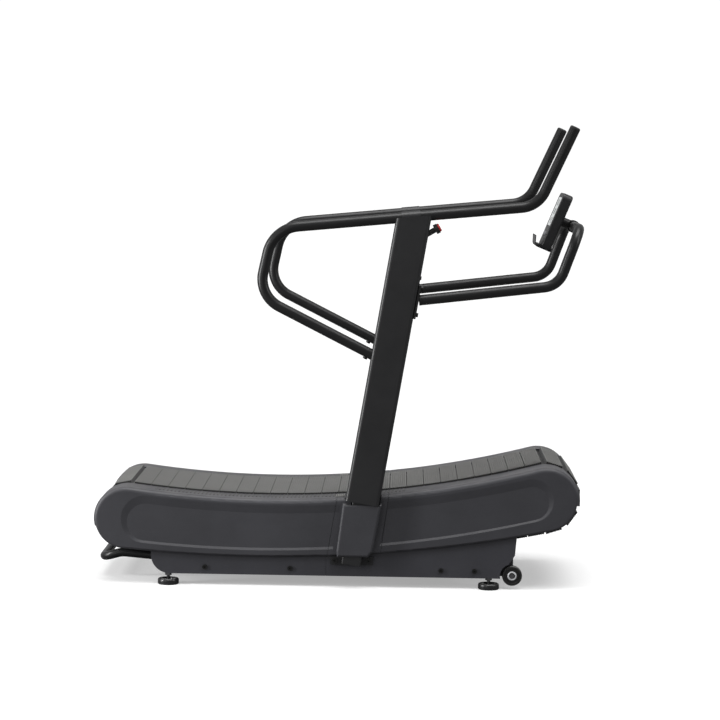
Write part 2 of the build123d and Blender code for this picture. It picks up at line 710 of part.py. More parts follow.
def pulleys(end, radius):
    """Two drive-belt pulleys: rim, drilled web and hub."""
    with BuildPart() as pair:
        for side in (1, -1):
            face = side_plane(side * BELT_Y + 14)
            with BuildSketch(face):
                with Locations(drum_centre(end)):
                    Circle(radius)
                    Circle(SHAFT_RADIUS, mode=Mode.SUBTRACT)
            extrude(amount=28)
            for cut in (side_plane(side * BELT_Y + 14), side_plane(side * BELT_Y - 4)):
                with BuildSketch(cut):
                    with Locations(drum_centre(end)):
                        Circle(radius - 10)
                        Circle(SHAFT_RADIUS + 12, mode=Mode.SUBTRACT)
                extrude(amount=10, mode=Mode.SUBTRACT)
            with BuildSketch(face):
                with Locations(drum_centre(end)):
                    with PolarLocations((radius + SHAFT_RADIUS) / 2, 6):
                        Circle(12)
            extrude(amount=28, mode=Mode.SUBTRACT)
    return pair.part


save("front_shaft", shaft("front"))
save("rear_shaft", shaft("rear"))
save("front_pulleys", pulleys("front", PULLEY_FRONT))
save("rear_pulleys", pulleys("rear", PULLEY_REAR))

with BuildPart() as bearing_housings:
    for end in ("front", "rear"):
        for side in (1, -1):
            with BuildSketch(side_plane(side * PLATE_INSIDE)):
                with Locations(drum_centre(end)):
                    Circle(HOUSING_RADIUS)
                    Circle(SHAFT_RADIUS + 0.05, mode=Mode.SUBTRACT)
            extrude(amount=side * 8)
            with BuildSketch(side_plane(side * PLATE_INSIDE)):
                with Locations(drum_centre(end)):
                    Circle(HOUSING_RADIUS - 10)
                    Circle(SHAFT_RADIUS + 0.05, mode=Mode.SUBTRACT)
            extrude(amount=side * HOUSING_DEEP)
save("bearing_housings", bearing_housings.part)

FLYWHEEL_Y = 60.0
FLYWHEEL_WIDE = 18.0
FLYWHEEL_RADIUS = 68.0

with BuildPart() as flywheel:
    with BuildSketch(side_plane(FLYWHEEL_Y + FLYWHEEL_WIDE)):
        with Locations(BELT.front):
            Circle(FLYWHEEL_RADIUS)
            Circle(SHAFT_RADIUS, mode=Mode.SUBTRACT)
    extrude(amount=FLYWHEEL_WIDE)
    with BuildSketch(side_plane(FLYWHEEL_Y + FLYWHEEL_WIDE + 10)):
        with Locations(BELT.front):
            Circle(26)
            Circle(SHAFT_RADIUS, mode=Mode.SUBTRACT)
    extrude(amount=FLYWHEEL_WIDE + 20)
save("flywheel", flywheel.part)

BRAKE_PIVOT = (BELT.front[0] - 112.0, BELT.front[1] - 30.0)
BRAKE_REACH = FLYWHEEL_RADIUS + 6.0
TIE_RADIUS = 15.0
TIE_X = (-420.0, 0.0, 420.0)
TIE_Z = (214.0, 214.0, 245.0)

with BuildPart() as frame_ties:
    # round ties between the two track plates, inside the belt loop
    for x, z in zip(TIE_X, TIE_Z):
        with BuildSketch(side_plane(PLATE_INSIDE)):
            with Locations((x, z + 30)):
                Circle(TIE_RADIUS)
                Circle(TIE_RADIUS - 3, mode=Mode.SUBTRACT)
        extrude(amount=2 * PLATE_INSIDE)
    # the brake's pivot tie
    with BuildSketch(side_plane(PLATE_INSIDE)):
        with Locations(BRAKE_PIVOT):
            Circle(10)
    extrude(amount=2 * PLATE_INSIDE)
save("frame_ties", frame_ties.part)

with BuildPart() as magnet_carrier:
    # curved shoe behind the flywheel rim, on an arm with a bearing on the pivot tie
    with BuildSketch(side_plane(FLYWHEEL_Y + FLYWHEEL_WIDE + 6)):
        with BuildLine():
            CenterArc(BELT.front, BRAKE_REACH, 160, 60)
            Line(((CenterArc(BELT.front, BRAKE_REACH, 160, 60, mode=Mode.PRIVATE)) @ 1),
                 ((CenterArc(BELT.front, BRAKE_REACH + 9, 160, 60, mode=Mode.PRIVATE)) @ 1))
            CenterArc(BELT.front, BRAKE_REACH + 9, 220, -60)
            Line(((CenterArc(BELT.front, BRAKE_REACH + 9, 160, 60, mode=Mode.PRIVATE)) @ 0),
                 ((CenterArc(BELT.front, BRAKE_REACH, 160, 60, mode=Mode.PRIVATE)) @ 0))
        make_face()
        with Locations(BRAKE_PIVOT):
            Circle(18)
        with Locations((BRAKE_PIVOT[0] + 16, BRAKE_PIVOT[1] + 4)):
            Rectangle(34, 16)
        with Locations(BRAKE_PIVOT):
            Circle(10.05, mode=Mode.SUBTRACT)
    extrude(amount=FLYWHEEL_WIDE + 12)
save("magnet_carrier", magnet_carrier.part)


# ================================================================ uprights and rails
def rail_point(x):
    """A point (x, z) on the hand rail's straight line."""
    return (x, RAIL_AT_POST[1] + math.tan(math.radians(RAIL_SLOPE)) * (x - RAIL_AT_POST[0]))


SLOPE = math.radians(RAIL_SLOPE)
SLEEVE_PLANE = Plane(origin=(RAIL_AT_POST[0], POST_Y, RAIL_AT_POST[1]),
                     z_dir=(math.cos(SLOPE), 0, math.sin(SLOPE)))

RAIL_LINE = Plane(origin=SLEEVE_PLANE.origin, x_dir=SLEEVE_PLANE.z_dir,
                  z_dir=(-math.sin(SLOPE), 0, math.cos(SLOPE)))
POST_ROOM = 32.0                    # the box section's hollow ends this far below the rail's line

with BuildPart() as upright:
    # leaning box section, cut off along the hand rail's middle line
    with BuildSketch(post_plane(POST_FOOT[1])):
        RectangleRounded(POST_WIDE, POST_DEEP, 13)
    extrude(amount=(RAIL_HEIGHT + 40 - POST_FOOT[1]) / math.cos(LEAN))
    with BuildSketch(RAIL_LINE):
        Rectangle(3 * POST_WIDE, 2 * POST_DEEP)
    extrude(amount=100, mode=Mode.SUBTRACT)
    with BuildSketch(post_plane(POST_FOOT[1] + 6)):
        RectangleRounded(POST_WIDE - 2 * POST_WALL, POST_DEEP - 2 * POST_WALL, 10)
    extrude(amount=(RAIL_HEIGHT - TUBE_RADIUS - POST_ROOM - POST_FOOT[1]) / math.cos(LEAN),
            mode=Mode.SUBTRACT)
    # spigot down through the boot to a foot plate on the base beam
    with BuildSketch(post_plane(SPIGOT_BOTTOM, SPIGOT_Y)):
        RectangleRounded(SPIGOT_WIDE, SPIGOT_DEEP, 5)
    extrude(amount=(POST_FOOT[1] - SPIGOT_BOTTOM + 3) / math.cos(LEAN))
    with BuildSketch(side_plane(BEAM_OUTSIDE + PLATE_THICK + 3)):
        with Locations((post_x(FOOT_BOLT_Z), FOOT_BOLT_Z - 1)):
            RectangleRounded(156, 30, 6)
        with Locations(*FOOT_BOLTS):
            Circle(STUD_RADIUS, mode=Mode.SUBTRACT)
    extrude(amount=PLATE_THICK + 3)
    # saddle and sleeve that hold the hand rail
    with BuildSketch(SLEEVE_PLANE.offset(-SLEEVE_HALF)):
        Circle(TUBE_RADIUS + SLEEVE_WALL)
    extrude(amount=2 * SLEEVE_HALF)
    with BuildSketch(SLEEVE_PLANE.offset(-2 * POST_WIDE)):
        Circle(TUBE_RADIUS)
    extrude(amount=4 * POST_WIDE, mode=Mode.SUBTRACT)
save_pair("upright", upright.part)

with BuildPart() as foot_bolts:
    for side in (1, -1):
        face = side_plane(side * (BEAM_OUTSIDE + PLATE_THICK + 3))
        with BuildSketch(face):
            with Locations(*FOOT_BOLTS):
                Circle(STUD_RADIUS)
        extrude(amount=side * (PLATE_THICK + 3 + BEAM_WALL + 10))
        with BuildSketch(face):
            with Locations(*FOOT_BOLTS):
                Circle(10)
        extrude(amount=-side * 6)
        with BuildSketch(face):
            with Locations(*FOOT_BOLTS):
                RegularPolygon(5, 6)
        extrude(amount=-side * 6, mode=Mode.SUBTRACT)
save("foot_bolts", foot_bolts.part)


def on_post(corners):
    """Side-view points (x, z) placed in the upright's middle plane."""
    return [(x, POST_Y, z) for x, z in corners]


stay_slope = (STAY_FOOT[1] - REAR_CORNERS[1][1]) / (STAY_FOOT[0] - REAR_CORNERS[1][0])
STAY_ANGLE = math.atan(stay_slope)
STAY_OVERRUN = 20.0
STAY_BOLT_BACK = 22.0               # the stay's bolt lies this far back from its foot
rear_run = [rail_point(RAIL_AT_POST[0] - 0.5), *REAR_CORNERS,
            step_from(STAY_FOOT, (STAY_OVERRUN, STAY_OVERRUN * stay_slope))]
rear_tube = bent_tube(on_post(rear_run), REAR_BENDS, TUBE_RADIUS, TUBE_WALL)


def stay_bolt_plane(y):
    """Plane on the stay's axis, square to it, facing out of its underside."""
    return Plane(origin=(STAY_FOOT[0] - STAY_BOLT_BACK * math.cos(STAY_ANGLE), y,
                         STAY_FOOT[1] - STAY_BOLT_BACK * math.sin(STAY_ANGLE)),
                 z_dir=(math.sin(STAY_ANGLE), 0, -math.cos(STAY_ANGLE)))


with BuildPart() as rear_rail:
    # the lower end is mitred flat against the upright's rear face
    add(rear_tube)
    with BuildSketch(post_plane(700)):
        Rectangle(POST_WIDE, 80)
    extrude(amount=400, mode=Mode.SUBTRACT)
    with BuildSketch(stay_bolt_plane(POST_Y)):
        Circle(STAY_BOLT)
    extrude(amount=TUBE_RADIUS + 1, mode=Mode.SUBTRACT)
save_pair("rear_rail", max(rear_rail.part.solids(), key=lambda solid: solid.volume))

horn_lean = math.radians(HORN_LEAN)
horn_tip = (HORN_CORNER[0] + HORN_LONG * math.cos(horn_lean),
            HORN_CORNER[1] + HORN_LONG * math.sin(horn_lean))
horn_run = [rail_point(RAIL_AT_POST[0] + 0.5), HORN_CORNER, horn_tip]
save_pair("front_horn", bent_tube(on_post(horn_run), (HORN_BEND,), TUBE_RADIUS, TUBE_WALL))

with BuildPart() as horn_caps:
    # domed plugs in the open ends of the horns
    for side in (1, -1):
        tip = Plane(origin=(horn_tip[0], side * POST_Y, horn_tip[1]),
                    z_dir=(math.cos(horn_lean), 0, math.sin(horn_lean)))
        with BuildSketch(tip.offset(-18)):
            Circle(TUBE_RADIUS - TUBE_WALL)
        extrude(amount=18)
        with BuildSketch(tip):
            Circle(TUBE_RADIUS)
        cap = extrude(amount=8)
        fillet(cap.edges().sort_by(Axis((0, 0, 0), tip.z_dir))[-1], 6)
save("horn_caps", horn_caps.part)

# one bent tube from upright to upright, carrying the console on its crossbar
loop_side = [(FRONT_LEG_START[0], POST_Y, FRONT_LEG_START[1]), (FRONT_CORNER[0], POST_Y, FRONT_CORNER[1]),
             (CROSSBAR[0], POST_Y, CROSSBAR[1])]
loop_corners = loop_side + [(x, -y, z) for x, y, z in reversed(loop_side)]
save("front_loop", bent_tube(loop_corners, (FRONT_BEND, CROSSBAR_BEND, CROSSBAR_BEND, FRONT_BEND),
                             TUBE_RADIUS, TUBE_WALL))

FLANGE_Z = FRONT_LEG_START[1] - 3.5
flange_plane = Plane(origin=(post_x(FLANGE_Z) + POST_WIDE / 2 / math.cos(LEAN), POST_Y, FLANGE_Z),
                     x_dir=(0, 1, 0), z_dir=(math.cos(LEAN), 0, -math.sin(LEAN)))
leg_slope = (FRONT_CORNER[1] - FRONT_LEG_START[1]) / (FRONT_CORNER[0] - FRONT_LEG_START[0])

with BuildPart() as loop_flanges:
    with BuildSketch(flange_plane):
        RectangleRounded(FLANGE[1], FLANGE[0], 8)
        with GridLocations(1, FLANGE_BOLTS, 1, 2):
            Circle(4, mode=Mode.SUBTRACT)
    extrude(amount=FLANGE[2])
    # room for the tube that is welded into it
    with BuildSketch(Plane(origin=(FRONT_LEG_START[0], POST_Y, FRONT_LEG_START[1]),
                           z_dir=(1, 0, leg_slope))):
        Circle(TUBE_RADIUS)
    extrude(amount=40, mode=Mode.SUBTRACT)
    mirror(about=Plane.XZ)
save("loop_flanges", loop_flanges.part)

STAY_HEAD = 6.0

with BuildPart() as stay_bolt:
    # screw in the underside of the rear rail's foot, its head hollowed to sit on the tube
    with BuildSketch(stay_bolt_plane(POST_Y).offset(TUBE_RADIUS - 2)):
        Circle(2 * STAY_BOLT)
    extrude(amount=STAY_HEAD + 2)
    fillet(stay_bolt.edges().sort_by(Axis((0, 0, 0), stay_bolt_plane(POST_Y).z_dir))[-1], 2)
    with BuildSketch(Plane(origin=stay_bolt_plane(POST_Y).origin,
                           z_dir=(math.cos(STAY_ANGLE), 0, math.sin(STAY_ANGLE)))):
        Circle(TUBE_RADIUS)
    extrude(amount=20, both=True, mode=Mode.SUBTRACT)
    with BuildSketch(stay_bolt_plane(POST_Y).offset(TUBE_RADIUS - TUBE_WALL - 6)):
        Circle(STAY_BOLT - WELD_GAP)
    extrude(amount=TUBE_WALL + 8)

with BuildPart() as rail_bolts:
    # two screws through each flange, and one in each rear rail's foot
    for side in (1, -1):
        face = Plane(origin=(flange_plane.origin.X, side * POST_Y, flange_plane.origin.Z),
                     x_dir=(0, 1, 0), z_dir=flange_plane.z_dir)
        with BuildSketch(face.offset(FLANGE[2])):
            with GridLocations(1, FLANGE_BOLTS, 1, 2):
                Circle(7.5)
        extrude(amount=7)
        with BuildSketch(face.offset(FLANGE[2])):
            with GridLocations(1, FLANGE_BOLTS, 1, 2):
                Circle(4)
        extrude(amount=-FLANGE[2])
        with BuildSketch(face.offset(FLANGE[2] + 3)):
            with GridLocations(1, FLANGE_BOLTS, 1, 2):
                RegularPolygon(3.5, 6)
        extrude(amount=4, mode=Mode.SUBTRACT)
    add(stay_bolt.part)
    add(mirror(stay_bolt.part, about=Plane.XZ))
save("rail_bolts", rail_bolts.part)


# ================================================================ console
TILT = math.radians(CONSOLE_TILT)
CONSOLE = Plane(origin=(CONSOLE_CENTRE[0], 0, CONSOLE_CENTRE[1]), x_dir=(0, -1, 0),
                z_dir=(-math.cos(TILT), 0, math.sin(TILT)))
TOWARDS_RUNNER = Axis((0, 0, 0), CONSOLE.z_dir)
HALF = CONSOLE_THICK / 2
SPLIT = -4.0                         # the two shells meet here, measured from the middle plane
BEZEL = 3.0
BUTTONS = ("start_button", "mode_button", "reset_button")
BUTTON_SPOTS = [((index - 1) * BUTTON_PITCH, BUTTON_DOWN) for index in range(3)]

with BuildPart() as console_front:
    with BuildSketch(CONSOLE.offset(SPLIT)):
        RectangleRounded(CONSOLE_WIDE, CONSOLE_TALL, 22)
    extrude(amount=HALF - SPLIT)
    fillet(console_front.faces().filter_by(CONSOLE).sort_by(TOWARDS_RUNNER)[-1].edges(), 5)
    with BuildSketch(CONSOLE.offset(SPLIT)):
        RectangleRounded(CONSOLE_WIDE - 2 * CONSOLE_WALL, CONSOLE_TALL - 2 * CONSOLE_WALL, 19.5)
    extrude(amount=HALF - SPLIT - BEZEL, mode=Mode.SUBTRACT)
    with BuildSketch(CONSOLE.offset(HALF)):
        with Locations((0, SCREEN_UP)):
            RectangleRounded(*SCREEN_SIZE, 4)
        with Locations(*BUTTON_SPOTS):
            Circle(BUTTON_RADIUS + TOUCH)
    extrude(amount=-BEZEL, mode=Mode.SUBTRACT)
save("console_front", console_front.part)

CLAMP_DROP = (CROSSBAR[0] - CONSOLE_CENTRE[0]) * math.sin(TILT) + \
             (CROSSBAR[1] - CONSOLE_CENTRE[1]) * math.cos(TILT)
BAR_DEPTH = -(CROSSBAR[0] - CONSOLE_CENTRE[0]) * math.cos(TILT) + \
            (CROSSBAR[1] - CONSOLE_CENTRE[1]) * math.sin(TILT)

with BuildPart() as console_back:
    with BuildSketch(CONSOLE.offset(-HALF)):
        RectangleRounded(CONSOLE_WIDE, CONSOLE_TALL, 22)
    extrude(amount=HALF + SPLIT)
    fillet(console_back.faces().filter_by(CONSOLE).sort_by(TOWARDS_RUNNER)[0].edges(), 8)
    with BuildSketch(CONSOLE.offset(SPLIT)):
        RectangleRounded(CONSOLE_WIDE - 2 * CONSOLE_WALL, CONSOLE_TALL - 2 * CONSOLE_WALL, 19.5)
    extrude(amount=-(HALF + SPLIT - BEZEL), mode=Mode.SUBTRACT)
    # opening for the battery cover
    with BuildSketch(CONSOLE.offset(-HALF)):
        with Locations((0, -72)):
            Rectangle(76, 34)
    extrude(amount=BEZEL, mode=Mode.SUBTRACT)
save("console_back", console_back.part)

with BuildPart() as battery_cover:
    with BuildSketch(CONSOLE.offset(-HALF)):
        with Locations((0, -72)):
            Rectangle(75.6, 33.6)
    extrude(amount=BEZEL)
    with BuildSketch(CONSOLE.offset(-HALF)):
        with Locations((0, -72)):
            Rectangle(24, 5)
    extrude(amount=-1.5)
save("battery_cover", battery_cover.part)

with BuildPart() as console_screen:
    with BuildSketch(CONSOLE.offset(HALF - 0.8)):
        with Locations((0, SCREEN_UP)):
            RectangleRounded(SCREEN_SIZE[0] - 0.2, SCREEN_SIZE[1] - 0.2, 4)
    extrude(amount=-(BEZEL - 0.8))
    with BuildSketch(CONSOLE.offset(HALF - BEZEL)):
        with Locations((0, SCREEN_UP)):
            RectangleRounded(SCREEN_SIZE[0] + 10, SCREEN_SIZE[1] + 10, 4)
    extrude(amount=-2)
save("console_screen", console_screen.part)

with BuildPart() as console_board:
    with BuildSketch(CONSOLE.offset(HALF - BEZEL - 12)):
        RectangleRounded(CONSOLE_WIDE - 2 * CONSOLE_WALL - 1, 180, 6)
    extrude(amount=1.6)
    # pillars that hold the board to the front shell
    with BuildSketch(CONSOLE.offset(HALF - BEZEL - 10.4)):
        with GridLocations(204, 150, 2, 2):
            Circle(4)
    extrude(amount=10.4)
save("console_board", console_board.part)

for name, spot in zip(BUTTONS, BUTTON_SPOTS):
    with BuildPart() as button:
        with BuildSketch(CONSOLE.offset(HALF - BEZEL - 3 - BUTTON_TRAVEL)):
            with Locations(spot):
                Circle(BUTTON_RADIUS)
        extrude(amount=BEZEL + 3 + BUTTON_TRAVEL + 2.5)
        fillet(button.faces().filter_by(CONSOLE).sort_by(TOWARDS_RUNNER)[-1].edges(), 1)
        with BuildSketch(CONSOLE.offset(HALF - BEZEL - 3 - BUTTON_TRAVEL)):
            with Locations(spot):
                Circle(BUTTON_RADIUS + 2)
        extrude(amount=1.6)
    save(name, button.part)

CLAMP_BORE = Plane(origin=(CROSSBAR[0], 0, CROSSBAR[1]), x_dir=CONSOLE.y_dir, z_dir=(0, 1, 0))
BAR_RUN = -BAR_DEPTH - HALF          # from the console's back to the crossbar's middle

with BuildPart() as console_clamp:
    # round stub from a plate on the console's back to a ring about the crossbar
    with BuildSketch(CONSOLE.offset(-HALF)):
        with Locations((0, CLAMP_DROP)):
            RectangleRounded(CLAMP_WIDE + 34, 58, 8)
    extrude(amount=-4)
    with BuildSketch(CONSOLE.offset(-HALF)):
        with Locations((0, CLAMP_DROP)):
            Circle(STUB_RADIUS)
    extrude(amount=-BAR_RUN)
    with BuildSketch(CLAMP_BORE.offset(-CLAMP_WIDE / 2)):
        Circle(TUBE_RADIUS + 4)
    extrude(amount=CLAMP_WIDE)
    with BuildSketch(CLAMP_BORE.offset(-CLAMP_WIDE)):
        Circle(TUBE_RADIUS + WELD_GAP)
    extrude(amount=2 * CLAMP_WIDE, mode=Mode.SUBTRACT)
save("console_clamp", console_clamp.part)

TRAY_THICK = 3.0
TRAY_BEND = 14.0
tray_level = -CONSOLE_TALL / 2 - TRAY_THICK / 2
with BuildPart() as tablet_tray:
    # bent strip: a short leg up the console's back, along under its edge and up into a lip
    with BuildSketch(Plane(origin=CONSOLE.origin + Vector(0, TRAY_WIDE / 2, 0),
                           x_dir=CONSOLE.z_dir, z_dir=(0, 1, 0))):
        with BuildLine():
            FilletPolyline((-HALF - TRAY_THICK / 2, tray_level + 14), (-HALF - TRAY_THICK / 2, tray_level),
                           (HALF + 20, tray_level), (HALF + 33, tray_level + 36), radius=(1.6, TRAY_BEND))
        trace(line_width=TRAY_THICK)
    extrude(amount=-TRAY_WIDE)
save("tablet_tray", tablet_tray.part)


# ================================================================ resistance knob
KNOB = math.radians(KNOB_AXIS)
KNOB_START = step_from(RAIL_AT_POST, KNOB_STEP)
KNOB_PLANE = Plane(origin=(KNOB_START[0], -POST_Y, KNOB_START[1]),
                   z_dir=(math.cos(KNOB), 0, math.sin(KNOB)))
SLEEVE_LONG = 26.0
COLLAR_LONG = 14.0

with BuildPart() as knob_sleeve:
    # stalk on the upright's front face, cut flat where it meets it
    with BuildSketch(KNOB_PLANE.offset(-12)):
        Circle(10)
    extrude(amount=SLEEVE_LONG + 12)
    with BuildSketch(KNOB_PLANE.offset(SLEEVE_LONG)):
        Circle(5)
    extrude(amount=8)
    with BuildSketch(post_plane(1100, -POST_Y)):
        Rectangle(POST_WIDE, 60)
    extrude(amount=300, mode=Mode.SUBTRACT)
save("knob_sleeve", max(knob_sleeve.part.solids(), key=lambda solid: solid.volume))

with BuildPart() as knob_collar:
    with BuildSketch(KNOB_PLANE.offset(SLEEVE_LONG + TOUCH)):
        Circle(18)
    extrude(amount=COLLAR_LONG)
    with BuildSketch(KNOB_PLANE.offset(SLEEVE_LONG)):
        Circle(5.1)
    extrude(amount=8.5, mode=Mode.SUBTRACT)
    # pocket for the push cap
    with BuildSketch(KNOB_PLANE.offset(SLEEVE_LONG + TOUCH + COLLAR_LONG)):
        Circle(15.5)
    extrude(amount=-4, mode=Mode.SUBTRACT)
    with BuildSketch(KNOB_PLANE.offset(SLEEVE_LONG + TOUCH + COLLAR_LONG)):
        with PolarLocations(18.6, 18):
            Circle(1.4)
    extrude(amount=-COLLAR_LONG, mode=Mode.SUBTRACT)
save("knob_collar", knob_collar.part)

with BuildPart() as knob_cap:
    with BuildSketch(KNOB_PLANE.offset(SLEEVE_LONG + TOUCH + COLLAR_LONG)):
        Circle(15.2)
    cap = extrude(amount=7)
    fillet(cap.edges().sort_by(Axis((0, 0, 0), KNOB_PLANE.z_dir))[-1], 3)
save("knob_cap", knob_cap.part)
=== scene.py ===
import json
import math
import bmesh
import bpy
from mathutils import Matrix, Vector
from mathutils.bvhtree import BVHTree


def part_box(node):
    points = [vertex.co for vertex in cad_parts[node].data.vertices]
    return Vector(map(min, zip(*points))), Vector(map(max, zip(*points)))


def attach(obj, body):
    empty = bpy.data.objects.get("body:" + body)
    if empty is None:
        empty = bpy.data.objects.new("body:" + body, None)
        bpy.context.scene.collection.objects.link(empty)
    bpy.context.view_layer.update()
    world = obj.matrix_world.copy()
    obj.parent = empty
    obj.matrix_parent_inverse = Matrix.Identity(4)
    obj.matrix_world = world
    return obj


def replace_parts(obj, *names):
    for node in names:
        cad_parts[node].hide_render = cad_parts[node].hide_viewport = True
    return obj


# Looks of a curved manual treadmill. Metres: +X is the front, +Y the runner's left, +Z up.
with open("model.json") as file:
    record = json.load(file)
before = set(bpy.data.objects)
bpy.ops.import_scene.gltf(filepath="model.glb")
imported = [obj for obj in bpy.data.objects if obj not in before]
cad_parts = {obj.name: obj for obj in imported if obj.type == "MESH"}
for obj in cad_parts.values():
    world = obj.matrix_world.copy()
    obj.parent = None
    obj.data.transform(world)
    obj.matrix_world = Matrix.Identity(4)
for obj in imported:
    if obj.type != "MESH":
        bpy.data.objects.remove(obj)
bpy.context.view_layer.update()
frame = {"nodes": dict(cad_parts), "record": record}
NODES = frame["nodes"]
RECORD = frame["record"]


# ---------------------------------------------------------------- camera, floor and light
CAMERA_PLACE = (0.227, -9.18, 1.560)
CAMERA_TURN = (85.233, -0.797, 1.037)     # degrees about X, Y and Z
LENS = 123.9                              # millimetres
SENSOR = 36.0
CLIP_END = 200
ACROSS = Vector((0, 1, 0))


def make_camera():
    data = bpy.data.cameras.new("camera")
    data.lens = LENS
    data.sensor_width = SENSOR
    data.clip_end = CLIP_END
    camera = bpy.data.objects.new("camera", data)
    camera.location = CAMERA_PLACE
    camera.rotation_euler = [math.radians(angle) for angle in CAMERA_TURN]
    bpy.context.scene.collection.objects.link(camera)
    bpy.context.scene.camera = camera


FLOOR_GLOW = 0.36                         # keeps the shadow under the machine pale
FLOOR_SEEN = 0.60                         # reflectance for the camera, and for everything else
FLOOR_BOUNCE = 0.16
FLOOR_REACH = 60


def make_floor():
    """A pale floor that throws little light back on the dark machine."""
    mesh = bpy.data.meshes.new("studio_floor")
    grid = bmesh.new()
    bmesh.ops.create_grid(grid, x_segments=8, y_segments=8, size=FLOOR_REACH)
    grid.to_mesh(mesh)
    grid.free()
    floor = bpy.data.objects.new("studio_floor", mesh)
    bpy.context.scene.collection.objects.link(floor)
    material = bpy.data.materials.new("studio_floor")
    material.use_nodes = True
    tree = material.node_tree
    tree.nodes.clear()
    nodes, links = tree.nodes, tree.links
    out = nodes.new("ShaderNodeOutputMaterial")
    seen = nodes.new("ShaderNodeBsdfDiffuse")
    seen.inputs["Color"].default_value = (FLOOR_SEEN, FLOOR_SEEN, FLOOR_SEEN, 1)
    glow = nodes.new("ShaderNodeEmission")
    glow.inputs["Strength"].default_value = FLOOR_GLOW
    bright = nodes.new("ShaderNodeAddShader")
    dim = nodes.new("ShaderNodeBsdfDiffuse")
    dim.inputs["Color"].default_value = (FLOOR_BOUNCE, FLOOR_BOUNCE, FLOOR_BOUNCE, 1)
    path = nodes.new("ShaderNodeLightPath")
    mix = nodes.new("ShaderNodeMixShader")
    links.new(seen.outputs["BSDF"], bright.inputs[0])
    links.new(glow.outputs["Emission"], bright.inputs[1])
    links.new(path.outputs["Is Camera Ray"], mix.inputs["Fac"])
    links.new(dim.outputs["BSDF"], mix.inputs[1])
    links.new(bright.outputs["Shader"], mix.inputs[2])
    links.new(mix.outputs["Shader"], out.inputs["Surface"])
    mesh.materials.append(material)


SKY_SIDE = 0.24                           # dark behind the camera
SKY_BACK = 0.7                            # white behind the machine
SKY_TOP = 0.55
SKY_SEEN = 1.05                           # the white that the camera sees


def make_world():
    """White for the camera, and a soft studio for the light: bright above and behind the machine."""
    world = bpy.data.worlds.new("studio")
    bpy.context.scene.world = world
    world.use_nodes = True
    tree = world.node_tree
    tree.nodes.clear()
    nodes, links = tree.nodes, tree.links
    out = nodes.new("ShaderNodeOutputWorld")
    seen = nodes.new("ShaderNodeBackground")
    seen.inputs["Color"].default_value = (1, 1, 1, 1)
    seen.inputs["Strength"].default_value = SKY_SEEN
    lit = nodes.new("ShaderNodeBackground")
    mix = nodes.new("ShaderNodeMixShader")
    path = nodes.new("ShaderNodeLightPath")
    coords = nodes.new("ShaderNodeTexCoord")
    split = nodes.new("ShaderNodeSeparateXYZ")
    depth = nodes.new("ShaderNodeMapRange")
    depth.inputs["From Min"].default_value = -0.6
    depth.inputs["From Max"].default_value = 0.7
    depth.inputs["To Min"].default_value = SKY_SIDE
    depth.inputs["To Max"].default_value = SKY_BACK
    height = nodes.new("ShaderNodeMapRange")
    height.inputs["From Min"].default_value = 0.25
    height.inputs["From Max"].default_value = 0.8
    blend = nodes.new("ShaderNodeMix")
    blend.inputs["B"].default_value = SKY_TOP
    links.new(coords.outputs["Generated"], split.inputs["Vector"])
    links.new(split.outputs["Y"], depth.inputs["Value"])
    links.new(split.outputs["Z"], height.inputs["Value"])
    links.new(height.outputs["Result"], blend.inputs["Factor"])
    links.new(depth.outputs["Result"], blend.inputs["A"])
    links.new(blend.outputs["Result"], lit.inputs["Strength"])
    links.new(path.outputs["Is Camera Ray"], mix.inputs["Fac"])
    links.new(lit.outputs["Background"], mix.inputs[1])
    links.new(seen.outputs["Background"], mix.inputs[2])
    links.new(mix.outputs["Shader"], out.inputs["Surface"])


SUN_POWER = 2.6
SUN_SPREAD = 46                           # degrees, for soft shadows
SUN_TURN = (10, 5)                        # degrees about X and Y
SOFT_BOXES = (                            # name, place, what it faces, width and height, power
    ("strip_rear", (-4.0, -1.6, 1.5), (-0.3, 0, 0.7), (0.6, 2.8), 170),
    ("strip_front", (3.6, -1.6, 2.4), (0.5, 0, 0.7), (0.5, 2.6), 30),
    ("fill_near", (-3.0, -6.5, 2.2), (-0.2, 0, 0.3), (2.4, 2.4), 38))


def make_lights():
    """A broad soft light overhead, strips for the edges and a weak fill."""
    sun = bpy.data.lights.new("overhead", "SUN")
    sun.energy = SUN_POWER
    sun.angle = math.radians(SUN_SPREAD)
    light = bpy.data.objects.new("overhead", sun)
    light.rotation_euler = (math.radians(SUN_TURN[0]), math.radians(SUN_TURN[1]), 0)
    bpy.context.scene.collection.objects.link(light)
    for name, place, target, size, power in SOFT_BOXES:
        area = bpy.data.lights.new(name, "AREA")
        area.shape = "RECTANGLE"
        area.size, area.size_y = size
        area.energy = power
        light = bpy.data.objects.new(name, area)
        light.location = place
        aim = Vector(target) - Vector(place)
        light.rotation_euler = aim.to_track_quat("-Z", "Y").to_euler()
        bpy.context.scene.collection.objects.link(light)


